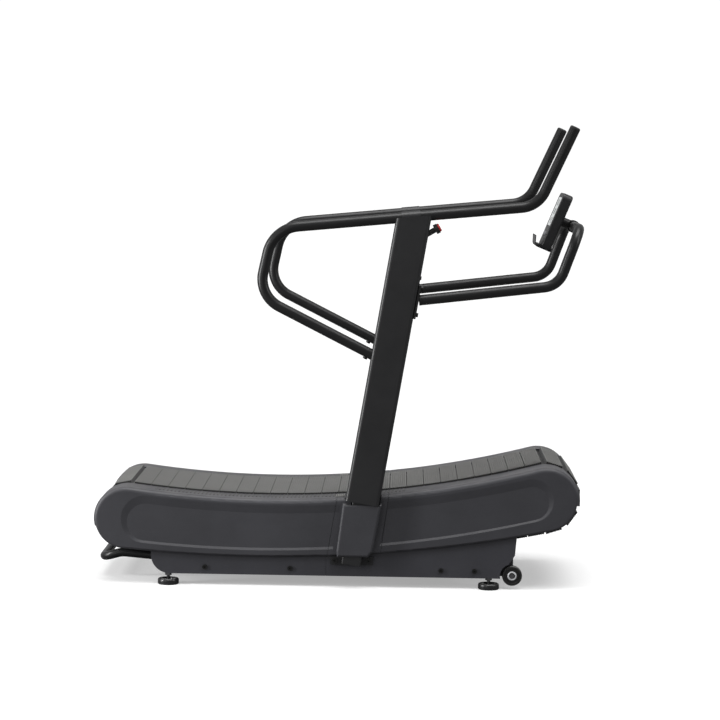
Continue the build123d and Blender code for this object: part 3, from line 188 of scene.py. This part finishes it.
# ---------------------------------------------------------------- material building blocks
class Recipe:
    """A procedural material: nodes are added by short calls and joined into one shader."""

    def __init__(self, name):
        self.material = bpy.data.materials.new(name)
        self.material.use_nodes = True
        self.nodes = self.material.node_tree.nodes
        self.links = self.material.node_tree.links
        self.shader = self.nodes["Principled BSDF"]
        self.coords = self.nodes.new("ShaderNodeTexCoord").outputs["Object"]
        self.height = None

    def set(self, **values):
        """Fixed values on the shader's own sockets."""
        for key, value in values.items():
            self.shader.inputs[key.replace("_", " ")].default_value = value

    def stretched(self, scale):
        mapping = self.nodes.new("ShaderNodeMapping")
        mapping.inputs["Scale"].default_value = scale
        self.links.new(self.coords, mapping.inputs["Vector"])
        return mapping.outputs["Vector"]

    def noise(self, scale, detail=2.0, rough=0.5, stretch=None):
        node = self.nodes.new("ShaderNodeTexNoise")
        node.inputs["Scale"].default_value = scale
        node.inputs["Detail"].default_value = detail
        node.inputs["Roughness"].default_value = rough
        vector = self.stretched(stretch) if stretch else self.coords
        self.links.new(vector, node.inputs["Vector"])
        return node.outputs["Fac"]

    def cells(self, scale, feature="F1"):
        node = self.nodes.new("ShaderNodeTexVoronoi")
        node.feature = feature
        node.inputs["Scale"].default_value = scale
        self.links.new(self.coords, node.inputs["Vector"])
        return node.outputs["Distance"]

    def ramp(self, value, low, high, to_low=0.0, to_high=1.0):
        node = self.nodes.new("ShaderNodeMapRange")
        node.inputs["From Min"].default_value = low
        node.inputs["From Max"].default_value = high
        node.inputs["To Min"].default_value = to_low
        node.inputs["To Max"].default_value = to_high
        self.links.new(value, node.inputs["Value"])
        return node.outputs["Result"]

    def times(self, first, second):
        node = self.nodes.new("ShaderNodeMath")
        node.operation = "MULTIPLY"
        for socket, value in zip(node.inputs, (first, second)):
            if isinstance(value, float):
                socket.default_value = value
            else:
                self.links.new(value, socket)
        return node.outputs["Value"]

    def facing_up(self):
        """0 on walls and undersides, 1 on level tops."""
        geometry = self.nodes.new("ShaderNodeNewGeometry")
        split = self.nodes.new("ShaderNodeSeparateXYZ")
        self.links.new(geometry.outputs["True Normal"], split.inputs["Vector"])
        return self.ramp(split.outputs["Z"], 0.35, 1.0)

    def mix(self, factor, first, second):
        """Two colours mixed by a factor; either may be a socket."""
        node = self.nodes.new("ShaderNodeMix")
        node.data_type = "RGBA"
        self.links.new(factor, node.inputs[0])
        for index, colour in ((6, first), (7, second)):
            if isinstance(colour, tuple):
                node.inputs[index].default_value = (*colour, 1)
            else:
                self.links.new(colour, node.inputs[index])
        return node.outputs[2]

    def colour(self, socket):
        self.links.new(socket, self.shader.inputs["Base Color"])

    def roughness(self, socket):
        self.links.new(socket, self.shader.inputs["Roughness"])

    def bump(self, height, strength, distance):
        """Relief in metres, stacked on any relief that is already there."""
        node = self.nodes.new("ShaderNodeBump")
        node.inputs["Strength"].default_value = strength
        node.inputs["Distance"].default_value = distance
        self.links.new(height, node.inputs["Height"])
        if self.height is not None:
            self.links.new(self.height, node.inputs["Normal"])
        self.height = node.outputs["Normal"]
        self.links.new(self.height, self.shader.inputs["Normal"])


# Warm grey painted on the level tops of moulded plastic as painted light from above.
TOP_LIGHT_TINT = (0.22, 0.21, 0.20)
TARNISH = (0.2, 0.18, 0.16)


def shade(colour, factor):
    return tuple(channel * factor for channel in colour)


def moulded(name, colour, rough, grain=1500.0, relief=0.00012, top_light=0.25, coat=0.0):
    """Grained moulded plastic: cloudy tone, fine pebbled relief, rubbed spots and painted top light in
    patches.
    """
    recipe = Recipe(name)
    recipe.set(Specular_IOR_Level=0.45, Coat_Weight=coat, Coat_Roughness=0.35)
    clouds = recipe.noise(5.0, 4.0, 0.6)
    tone = recipe.mix(recipe.ramp(clouds, 0.3, 0.7), shade(colour, 0.88), shade(colour, 1.12))
    specks = recipe.ramp(recipe.noise(grain * 0.6, 2.0, 0.6), 0.62, 0.8)
    tone = recipe.mix(recipe.times(specks, 0.35), tone, shade(colour, 1.7))
    # Painted light: level tops are lightened towards a warm grey in patches, as if lit from above.
    level = recipe.facing_up()
    lit_tops = recipe.times(level, recipe.ramp(recipe.noise(14.0, 5.0, 0.65), 0.35, 0.8, 0.0, top_light))
    recipe.colour(recipe.mix(lit_tops, tone, TOP_LIGHT_TINT))
    rubbed = recipe.noise(9.0, 5.0, 0.7, (1.0, 1.0, 3.0))
    recipe.roughness(recipe.ramp(rubbed, 0.25, 0.75, rough - 0.07, rough + 0.08))
    recipe.bump(recipe.cells(grain), 0.35, relief)
    recipe.bump(recipe.noise(35.0, 2.0), 0.12, 0.0006)
    return recipe.material


def painted(name, colour, rough, peel=420.0, relief=0.00016, wear=0.5, coat=0.12):
    """Powder-coated metal: orange peel, faint sparkle, hairline scuffs and lighter rubbed patches."""
    recipe = Recipe(name)
    recipe.set(Specular_IOR_Level=0.42, Coat_Weight=coat, Coat_Roughness=0.28)
    clouds = recipe.noise(4.0, 3.0, 0.55)
    tone = recipe.mix(recipe.ramp(clouds, 0.3, 0.7), shade(colour, 0.85), shade(colour, 1.15))
    sparkle = recipe.ramp(recipe.noise(2600.0, 1.0), 0.66, 0.8)
    tone = recipe.mix(recipe.times(sparkle, 0.4), tone, shade(colour, 3.0))
    scuff = recipe.ramp(recipe.noise(26.0, 6.0, 0.75, (1.0, 6.0, 9.0)), 0.63, 0.74, 0.0, wear)
    recipe.colour(recipe.mix(scuff, tone, shade(colour, 2.2)))
    recipe.roughness(recipe.ramp(recipe.noise(17.0, 5.0, 0.7), 0.25, 0.75, rough - 0.06, rough + 0.08))
    recipe.bump(recipe.noise(peel, 2.0, 0.5), 0.3, relief)
    return recipe.material


def rubber(name, colour, rough, grain=900.0, relief=0.0003):
    """Rubber: matt, cloudy and pitted, with uneven sheen."""
    recipe = Recipe(name)
    recipe.set(Specular_IOR_Level=0.3, Sheen_Weight=0.12, Sheen_Roughness=0.5)
    clouds = recipe.noise(11.0, 6.0, 0.65)
    tone = recipe.mix(recipe.ramp(clouds, 0.3, 0.72), shade(colour, 0.8), shade(colour, 1.2))
    pits = recipe.ramp(recipe.cells(grain), 0.1, 0.6)
    tone = recipe.mix(recipe.times(pits, 0.4), tone, shade(colour, 1.35))
    recipe.colour(tone)
    recipe.roughness(recipe.ramp(clouds, 0.2, 0.8, rough - 0.1, rough + 0.08))
    recipe.bump(recipe.cells(grain), 0.5, relief)
    return recipe.material


def bare(name, colour, rough, stretch=(1.0, 40.0, 1.0), grain=90.0, metal=1.0):
    """Bare or plated metal: tool marks drawn out along one axis, dulled in patches."""
    recipe = Recipe(name)
    recipe.set(Metallic=metal)
    lines = recipe.noise(grain, 4.0, 0.7, stretch)
    tone = recipe.mix(recipe.ramp(lines, 0.3, 0.7), shade(colour, 0.8), shade(colour, 1.08))
    patches = recipe.ramp(recipe.noise(30.0, 5.0, 0.7), 0.5, 0.8, 0.0, 0.45)
    recipe.colour(recipe.mix(patches, tone, TARNISH))
    recipe.roughness(recipe.ramp(lines, 0.25, 0.75, rough - 0.08, rough + 0.12))
    recipe.bump(lines, 0.25, 0.00012)
    return recipe.material


def cast(name, colour, rough):
    """Painted or machined casting with a sandy skin."""
    recipe = Recipe(name)
    recipe.set(Metallic=0.35)
    skin = recipe.noise(420.0, 5.0, 0.7)
    recipe.colour(recipe.mix(recipe.ramp(skin, 0.3, 0.7), shade(colour, 0.75), shade(colour, 1.25)))
    recipe.roughness(recipe.ramp(recipe.noise(60.0, 4.0), 0.3, 0.7, rough - 0.1, rough + 0.1))
    recipe.bump(skin, 0.6, 0.0005)
    return recipe.material


def screen_glass(name):
    """Pale glossy display window with faint smears, a fine dot grid under it and a painted glow."""
    recipe = Recipe(name)
    # The emission is painted light: the window glows though it is not a lamp.
    recipe.set(Specular_IOR_Level=0.6, Coat_Weight=1.0, Coat_Roughness=0.04,
               Emission_Color=(0.75, 0.82, 0.82, 1), Emission_Strength=0.60)
    smear = recipe.noise(22.0, 6.0, 0.7, (1.0, 1.0, 3.0))
    tone = recipe.mix(recipe.ramp(smear, 0.3, 0.7), (0.40, 0.44, 0.43), (0.46, 0.50, 0.48))
    dots = recipe.ramp(recipe.cells(1400.0), 0.25, 0.5)
    recipe.colour(recipe.mix(recipe.times(dots, 0.3), tone, (0.33, 0.37, 0.36)))
    recipe.roughness(recipe.ramp(smear, 0.3, 0.7, 0.12, 0.26))
    recipe.bump(smear, 0.05, 0.0002)
    return recipe.material


def laminate(name):
    """Green circuit board with fine copper traces under the solder mask."""
    recipe = Recipe(name)
    recipe.set(Coat_Weight=0.4, Coat_Roughness=0.2)
    traces = recipe.ramp(recipe.cells(260.0, "DISTANCE_TO_EDGE"), 0.03, 0.06)
    recipe.colour(recipe.mix(traces, (0.07, 0.24, 0.10), (0.02, 0.12, 0.05)))
    recipe.roughness(recipe.ramp(traces, 0.0, 1.0, 0.3, 0.45))
    recipe.bump(traces, 0.3, 0.0001)
    return recipe.material


def make_materials():
    """One material for each of the record's material slots."""
    return {
        "cover_plastic": moulded("cover_plastic", (0.040, 0.040, 0.046), 0.50),
        "frame_paint": painted("frame_paint", (0.038, 0.038, 0.045), 0.46),
        "tube_paint": painted("tube_paint", (0.007, 0.007, 0.0075), 0.36, coat=0.0),
        "upright_paint": painted("upright_paint", (0.014, 0.014, 0.015), 0.40),
        "tread_rubber": rubber("tread_rubber", (0.150, 0.149, 0.143), 0.80),
        "slat_alloy": bare("slat_alloy", (0.62, 0.63, 0.65), 0.42, metal=0.15),
        "belt_rubber": rubber("belt_rubber", (0.018, 0.018, 0.018), 0.7),
        "roller_steel": bare("roller_steel", (0.48, 0.48, 0.49), 0.30),
        "zinc_steel": bare("zinc_steel", (0.20, 0.20, 0.21), 0.34, (1.0, 1.0, 1.0), 220.0),
        "black_bolt": painted("black_bolt", (0.004, 0.004, 0.004), 0.42, 900.0),
        "housing_iron": cast("housing_iron", (0.05, 0.05, 0.055), 0.6),
        "pulley_alloy": bare("pulley_alloy", (0.45, 0.45, 0.47), 0.36),
        "shaft_steel": bare("shaft_steel", (0.52, 0.52, 0.54), 0.24),
        "flywheel_iron": cast("flywheel_iron", (0.20, 0.20, 0.21), 0.42),
        "brake_steel": painted("brake_steel", (0.13, 0.13, 0.14), 0.45),
        "foot_plastic": moulded("foot_plastic", (0.010, 0.010, 0.011), 0.24, 1200.0, 0.00005, 0.3, 0.5),
        "wheel_plastic": moulded("wheel_plastic", (0.012, 0.012, 0.012), 0.34, 900.0, 0.00008, 0.2, 0.2),
        "cap_plastic": rubber("cap_plastic", (0.012, 0.012, 0.012), 0.55),
        "console_plastic": moulded("console_plastic", (0.010, 0.010, 0.011), 0.42, 1800.0, 0.00008, 0.1),
        "screen_face": screen_glass("screen_face"),
        "button_rubber": rubber("button_rubber", (0.16, 0.16, 0.17), 0.6),
        "tray_steel": painted("tray_steel", (0.020, 0.020, 0.022), 0.38),
        "board_laminate": laminate("board_laminate"),
        "knob_plastic": moulded("knob_plastic", (0.010, 0.010, 0.010), 0.38, 1500.0, 0.00008, 0.05),
        "knob_red": moulded("knob_red", (0.55, 0.018, 0.02), 0.28, 1500.0, 0.00003, 0.0, 0.5),
    }


def finish_nodes(materials):
    """Each CAD node takes the finish that the record names for it."""
    for part in RECORD["subparts"]:
        mesh = NODES[part["node"]].data
        mesh.materials.clear()
        mesh.materials.append(materials[part["material_slot"]])


# ---------------------------------------------------------------- extra pieces
def new_piece(name, body, slot, mesh_builder, bevel=0.0, smooth=True):
    """A mesh piece from a bmesh recipe, with its finish and the body that it rides on."""
    shape = bmesh.new()
    mesh_builder(shape)
    mesh = bpy.data.meshes.new(name)
    shape.normal_update()
    shape.to_mesh(mesh)
    shape.free()
    piece = bpy.data.objects.new(name, mesh)
    bpy.context.scene.collection.objects.link(piece)
    mesh.materials.append(MATERIALS[slot])
    if smooth:
        mesh.shade_smooth()
    if bevel:
        edge = piece.modifiers.new("edge", "BEVEL")
        edge.width = bevel
        edge.segments = 3
        edge.limit_method = "ANGLE"
    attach(piece, body)
    return piece


def surface_under(nodes):
    """A probe that drops a ray on to CAD nodes and gives the point and normal."""
    trees = [BVHTree.FromObject(NODES[name], bpy.context.evaluated_depsgraph_get()) for name in nodes]

    def probe(x, y, top=2.0):
        best = None
        for tree in trees:
            point, normal, _, _ = tree.ray_cast(Vector((x, y, top)), Vector((0, 0, -1)))
            if point is not None and (best is None or point.z > best[0].z):
                best = (point, normal)
        return best
    return probe


def add_block(shape, centre, along, across, up, size, narrow=0.72, trim=0.97):
    """An oriented box with slightly narrowed top, added to a bmesh."""
    long, wide, tall = (value / 2 for value in size)
    corners = []
    for top in (-1, 1):
        shrink = 1.0 if top < 0 else narrow
        for a, b in ((-1, -1), (1, -1), (1, 1), (-1, 1)):
            corners.append(shape.verts.new(centre + along * (a * long * shrink)
                                           + across * (b * wide * (trim if top > 0 else 1))
                                           + up * (top * tall)))
    shape.faces.new(corners[3::-1])
    shape.faces.new(corners[4:])
    for index in range(4):
        after = (index + 1) % 4
        shape.faces.new((corners[index], corners[after], corners[after + 4], corners[index + 4]))


def sweep_ring(shape, centre, axis, radius, thick, segments=64, sides=8):
    """A round ring about an axis, given as a unit vector."""
    side = axis.orthogonal().normalized()
    other = axis.cross(side)
    rings = []
    for index in range(segments):
        turn = 2 * math.pi * index / segments
        out = side * math.cos(turn) + other * math.sin(turn)
        ring = []
        for step in range(sides):
            angle = 2 * math.pi * step / sides
            ring.append(shape.verts.new(centre + out * (radius + thick * math.cos(angle))
                                        + axis * (thick * math.sin(angle))))
        rings.append(ring)
    for index, ring in enumerate(rings):
        after = rings[(index + 1) % segments]
        for step in range(sides):
            nxt = (step + 1) % sides
            shape.faces.new((ring[step], after[step], after[nxt], ring[nxt]))


RIB_PITCH = 0.014
RIB_SIZE = (0.0066, 0.070, 0.0022)
RIB_REACH = (-0.655, 0.245)               # the ribbed stretch of each foot rail
RIB_SUNK = 0.0008                         # how far a rib's foot lies in the cover
RAIL_Y = 0.268
SEAM_X = 0.03                             # no rib is set on this spot
SEAM_CLEAR = 0.006


def make_rail_ribs():
    """Fine anti-slip bars moulded across the foot rails beside the belt."""
    covers = [f"{name}_cover_{side}" for name in ("rear", "mid", "front") for side in ("left", "right")]
    probe = surface_under(covers)
    for side, name in ((1, "left"), (-1, "right")):
        def build(shape):
            count = int((RIB_REACH[1] - RIB_REACH[0]) / RIB_PITCH)
            for index in range(count + 1):
                x = RIB_REACH[0] + index * RIB_PITCH
                found = probe(x, side * RAIL_Y)
                if found is None or abs(x - SEAM_X) < SEAM_CLEAR:
                    continue
                point, normal = found
                along = ACROSS.cross(normal).normalized()
                place = point + normal * (RIB_SIZE[2] / 2 - RIB_SUNK)
                add_block(shape, place, along, ACROSS, normal, RIB_SIZE)
        new_piece(f"rail_ribs_{name}", "base", "cap_plastic", build, 0.0006, False)


def islands(shape):
    """The patches of a mesh that share no vertices, each as a list of its faces, in mesh order."""
    left = set(shape.faces)
    for start in shape.faces:
        if start not in left:
            continue
        left.remove(start)
        island, front = [start], [start]
        while front:
            for edge in front.pop().edges:
                for face in edge.link_faces:
                    if face in left:
                        left.remove(face)
                        island.append(face)
                        front.append(face)
        yield island


def flat_side(faces, judge):
    """The widest group of faces with one direction that scores best: centre, normal and corners."""
    groups = []
    for face in faces:
        for group in groups:
            if group[0].normal.dot(face.normal) > 0.999:
                group.append(face)
                break
        else:
            groups.append([face])
    widest = max(sum(face.calc_area() for face in group) for group in groups)
    sides = []
    for group in groups:
        area = sum(face.calc_area() for face in group)
        if area > widest * 0.6:
            corners = [vert.co.copy() for face in group for vert in face.verts]
            centre = sum((face.calc_center_median() * face.calc_area() for face in group), Vector()) / area
            sides.append((centre, group[0].normal.copy(), corners))
    return max(sides, key=judge)


RIDGES = 8                                # ridges on each block
RIDGE_TALL = 0.0013
TREAD_SOLE = 0.0049                       # thickness of a block where it isn't built up
TREAD_PROUD = 0.004                       # the running surface stands this far above the foot rails
TREAD_HALF = 0.226                        # half width of the rubber between the rails
REAR_FADE = (0.45, 0.93)                  # facing up, over which the rear blocks reach full height
DECK_FLARE = 0.985                        # a block's top against its foot
DRUM_FLARE = 1.12                         # blocks on the front drum widen outwards
RIDGE_MARGIN = 0.015                      # left free at a block's sides, of its width
RIDGE_SHARE = 0.66                        # of the pitch
OPEN_FRONT = 0.60                         # ahead of this the blocks underneath are built up too
UNDERSIDE = -0.45                         # blocks that face down more than this keep their plain height


def make_tread():
    """The built-up running surface between the foot rails.

    The faces of the CAD mesh don't share vertices, so a block is laid on every flat patch of the
    grooved pads, its walls included, and not on each pad. The blocks overlap and cut into the slats.
    """
    slats = BVHTree.FromObject(NODES["slats"], bpy.context.evaluated_depsgraph_get())
    source = bmesh.new()
    source.from_mesh(NODES["tread_pads"].data)
    patches = [flat_side(island, lambda side: slats.find_nearest(side[0])[3]) for island in islands(source)]
    source.free()
    middle = min(patches, key=lambda patch: abs(patch[0].x + 0.2) - patch[1].z)[0]
    rail = surface_under(["rear_cover_left"])(middle.x, RAIL_Y)[0]
    lift = rail.z + TREAD_PROUD - middle.z
    laid = []
    for centre, normal, corners in patches:
        along = ACROSS.cross(normal).normalized()
        reach = [(corner - centre).dot(along) for corner in corners]
        low = centre + along * (max(reach) + min(reach)) / 2
        low.y = 0
        if low.x < 0:
            share = min(max((normal.z - REAR_FADE[0]) / (REAR_FADE[1] - REAR_FADE[0]), 0.0), 1.0)
        else:
            share = 1.0 if normal.z > UNDERSIDE or low.x > OPEN_FRONT else 0.0
        flare = DRUM_FLARE if low.x > 0 and normal.x > 0.1 and share > 0 else DECK_FLARE
        laid.append((low, normal, along, max(reach) - min(reach), lift * share, flare))

    # The soles are black, so the walls of the gaps between blocks and the grooves between ridges show
    # painted shade.
    def soles(shape):
        for low, normal, along, wide, rise, flare in laid:
            tall = rise + TREAD_SOLE
            block = (wide, 2 * TREAD_HALF, tall)
            add_block(shape, low + normal * (rise - tall / 2), along, ACROSS, normal, block, flare, 1.0)
    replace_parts(new_piece("tread_soles_painted_shade", "base", "belt_rubber", soles, 0.0, False), "tread_pads")

    def ridges(shape):
        for low, normal, along, wide, rise, flare in laid:
            pitch = wide * (flare - RIDGE_MARGIN) / RIDGES
            size = (pitch * RIDGE_SHARE, 2 * TREAD_HALF - 0.004, RIDGE_TALL)
            for index in range(RIDGES):
                place = low + along * (index + 0.5 - RIDGES / 2) * pitch
                add_block(shape, place + normal * (rise + RIDGE_TALL / 2 - 0.0001),
                          along, ACROSS, normal, size, 0.86, 0.999)
    new_piece("tread_ridges", "base", "tread_rubber", ridges, 0.0, False)


FOOT_PUCK = 0.021                         # height of the moulded rim on each foot's pad


def make_foot_pucks():
    """The thick rounded rims of the levelling feet."""
    for end in ("rear", "front"):
        for side in ("left", "right"):
            low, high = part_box(f"{end}_foot_{side}")
            centre = Vector(((low.x + high.x) / 2, (low.y + high.y) / 2, 0))
            radius = (high.x - low.x) / 2
            outline = ((radius * 0.80, 0.002), (radius * 0.97, 0.002), (radius, 0.005),
                       (radius, FOOT_PUCK - 0.005), (radius * 0.96, FOOT_PUCK - 0.001),
                       (radius * 0.90, FOOT_PUCK), (radius * 0.52, FOOT_PUCK), (radius * 0.50, 0.006))

            def build(shape):
                turn_outline(shape, centre, outline)
            new_piece(f"foot_rim_{end}_{side}", f"foot_{end}_{side}", "foot_plastic", build)


def turn_outline(shape, centre, outline, segments=64):
    """A closed outline of (radius, height) pairs turned about the upright axis."""
    rings = []
    for index in range(segments):
        turn = 2 * math.pi * index / segments
        out = Vector((math.cos(turn), math.sin(turn), 0))
        rings.append([shape.verts.new(centre + out * radius + Vector((0, 0, height)))
                      for radius, height in outline])
    for index, ring in enumerate(rings):
        after = rings[(index + 1) % segments]
        for step in range(len(outline)):
            nxt = (step + 1) % len(outline)
            shape.faces.new((ring[step], after[step], after[nxt], ring[nxt]))


INSET_PLACE = (0.012, 0.292)              # from the middle, ahead and aside
INSET_SIZE = (0.042, 0.070, 0.0016)
STUD_SIZE = (0.005, 0.005, 0.0014)
STUD_PITCH = 0.0068


def make_rail_insert():
    """A small grip inset on each middle rail, just behind the upright."""
    probe = surface_under(["mid_cover_left", "mid_cover_right"])
    for side, name in ((1, "left"), (-1, "right")):
        found = probe(INSET_PLACE[0], side * INSET_PLACE[1])
        if found is None:
            continue
        point, normal = found
        along = ACROSS.cross(normal).normalized()

        def frame_shape(shape):
            add_block(shape, point + normal * 0.0004, along, ACROSS, normal, INSET_SIZE)
        new_piece(f"rail_inset_{name}", "base", "cap_plastic", frame_shape, 0.0006, False)

        def grip_shape(shape):
            for row in range(5):
                for column in range(9):
                    place = (point + along * (row - 2) * STUD_PITCH
                             + ACROSS * (column - 4) * STUD_PITCH + normal * 0.0018)
                    add_block(shape, place, along, ACROSS, normal, STUD_SIZE)
        new_piece(f"rail_grip_{name}", "base", "tread_rubber", grip_shape, 0.0, False)


SEGMENTS = {                              # the bars that are lit in each digit of a display
    "top": ("0", "2", "3", "5", "7", "8"), "middle": ("2", "3", "4", "5", "8"),
    "bottom": ("0", "2", "3", "5", "8"), "top_left": ("0", "4", "5", "8"),
    "top_right": ("0", "1", "2", "3", "4", "7", "8"), "low_left": ("0", "2", "8"),
    "low_right": ("0", "1", "3", "4", "5", "7", "8")}


def make_display():
    """Dark liquid-crystal digits in three rows on the console's window."""
    source = bmesh.new()
    source.from_mesh(NODES["console_screen"].data)
    source.normal_update()
    centre, normal, corners = flat_side(list(source.faces), lambda side: -side[1].x)
    source.free()
    up = (Vector((0, 0, 1)) - normal * normal.z).normalized()
    right = up.cross(normal)
    tall = max((corner - centre).dot(up) for corner in corners)
    wide = max((corner - centre).dot(right) for corner in corners)
    digit_wide, digit_tall, bar = wide * 0.15, tall * 0.34, tall * 0.05

    def build(shape):
        bars = {"top": (0, 1), "middle": (0, 0), "bottom": (0, -1), "top_left": (-1, 0.5),
                "top_right": (1, 0.5), "low_left": (-1, -0.5), "low_right": (1, -0.5)}
        for row, reading in enumerate(("0235", "1804", "4750")):
            for column, digit in enumerate(reading):
                spot = (centre + up * (1 - row) * tall * 0.58
                        + right * (column - 1.5) * digit_wide * 1.75 + normal * 0.0002)
                for name, (aside, above) in bars.items():
                    if digit not in SEGMENTS[name]:
                        continue
                    place = spot + right * aside * digit_wide / 2 + up * above * digit_tall / 2
                    level = (digit_wide * 0.8, bar) if aside == 0 else (bar, digit_tall * 0.4)
                    add_block(shape, place, right, up, normal, (*level, 0.0006))
    new_piece("display_digits", "console", "console_plastic", build, 0.0, False)


RIM_SHARE = 0.37                          # of the wheel's radius
RIM_THICK = 0.0032


def make_wheel_rims():
    """Bright pressed rings round the transport wheels' hubs."""
    for side, name in ((1, "left"), (-1, "right")):
        low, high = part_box(f"transport_wheel_{name}")
        middle = (Vector(low) + Vector(high)) / 2
        radius = (high.z - low.z) / 2
        face_y = high.y if side > 0 else low.y

        def build(shape):
            centre = Vector((middle.x, face_y + side * 0.0002, middle.z))
            sweep_ring(shape, centre, ACROSS, radius * RIM_SHARE, RIM_THICK)
        new_piece(f"wheel_rim_{name}", f"wheel_{name}", "slat_alloy", build)


TRAY_PAD = (0.010, 0.17, 0.011)           # a soft bar for the foot of a tablet
TRAY_SLOT_BACK = 0.0135                   # from the lip to the bar's middle


def make_tray_pad():
    """A dark rubber bar that keeps a tablet from sliding on the tray."""
    low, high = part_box("tablet_tray")
    x = low.x + TRAY_SLOT_BACK
    found = surface_under(["tablet_tray"])(x, 0.0, high.z - 0.004)
    if found is None:
        return

    def build(shape):
        place = Vector((x, 0, found[0].z + TRAY_PAD[2] / 2 - 0.001))
        add_block(shape, place, Vector((1, 0, 0)), ACROSS, Vector((0, 0, 1)), TRAY_PAD, 0.8, 0.99)
    new_piece("tray_pad", "console", "cap_plastic", build, 0.001)


def main():
    make_camera()
    make_floor()
    make_world()
    make_lights()
    finish_nodes(MATERIALS)
    make_rail_ribs()
    make_tread()
    make_rail_insert()
    make_display()
    make_wheel_rims()
    make_foot_pucks()
    make_tray_pad()


MATERIALS = make_materials()
main()
bpy.context.scene.view_settings.view_transform = "Standard"
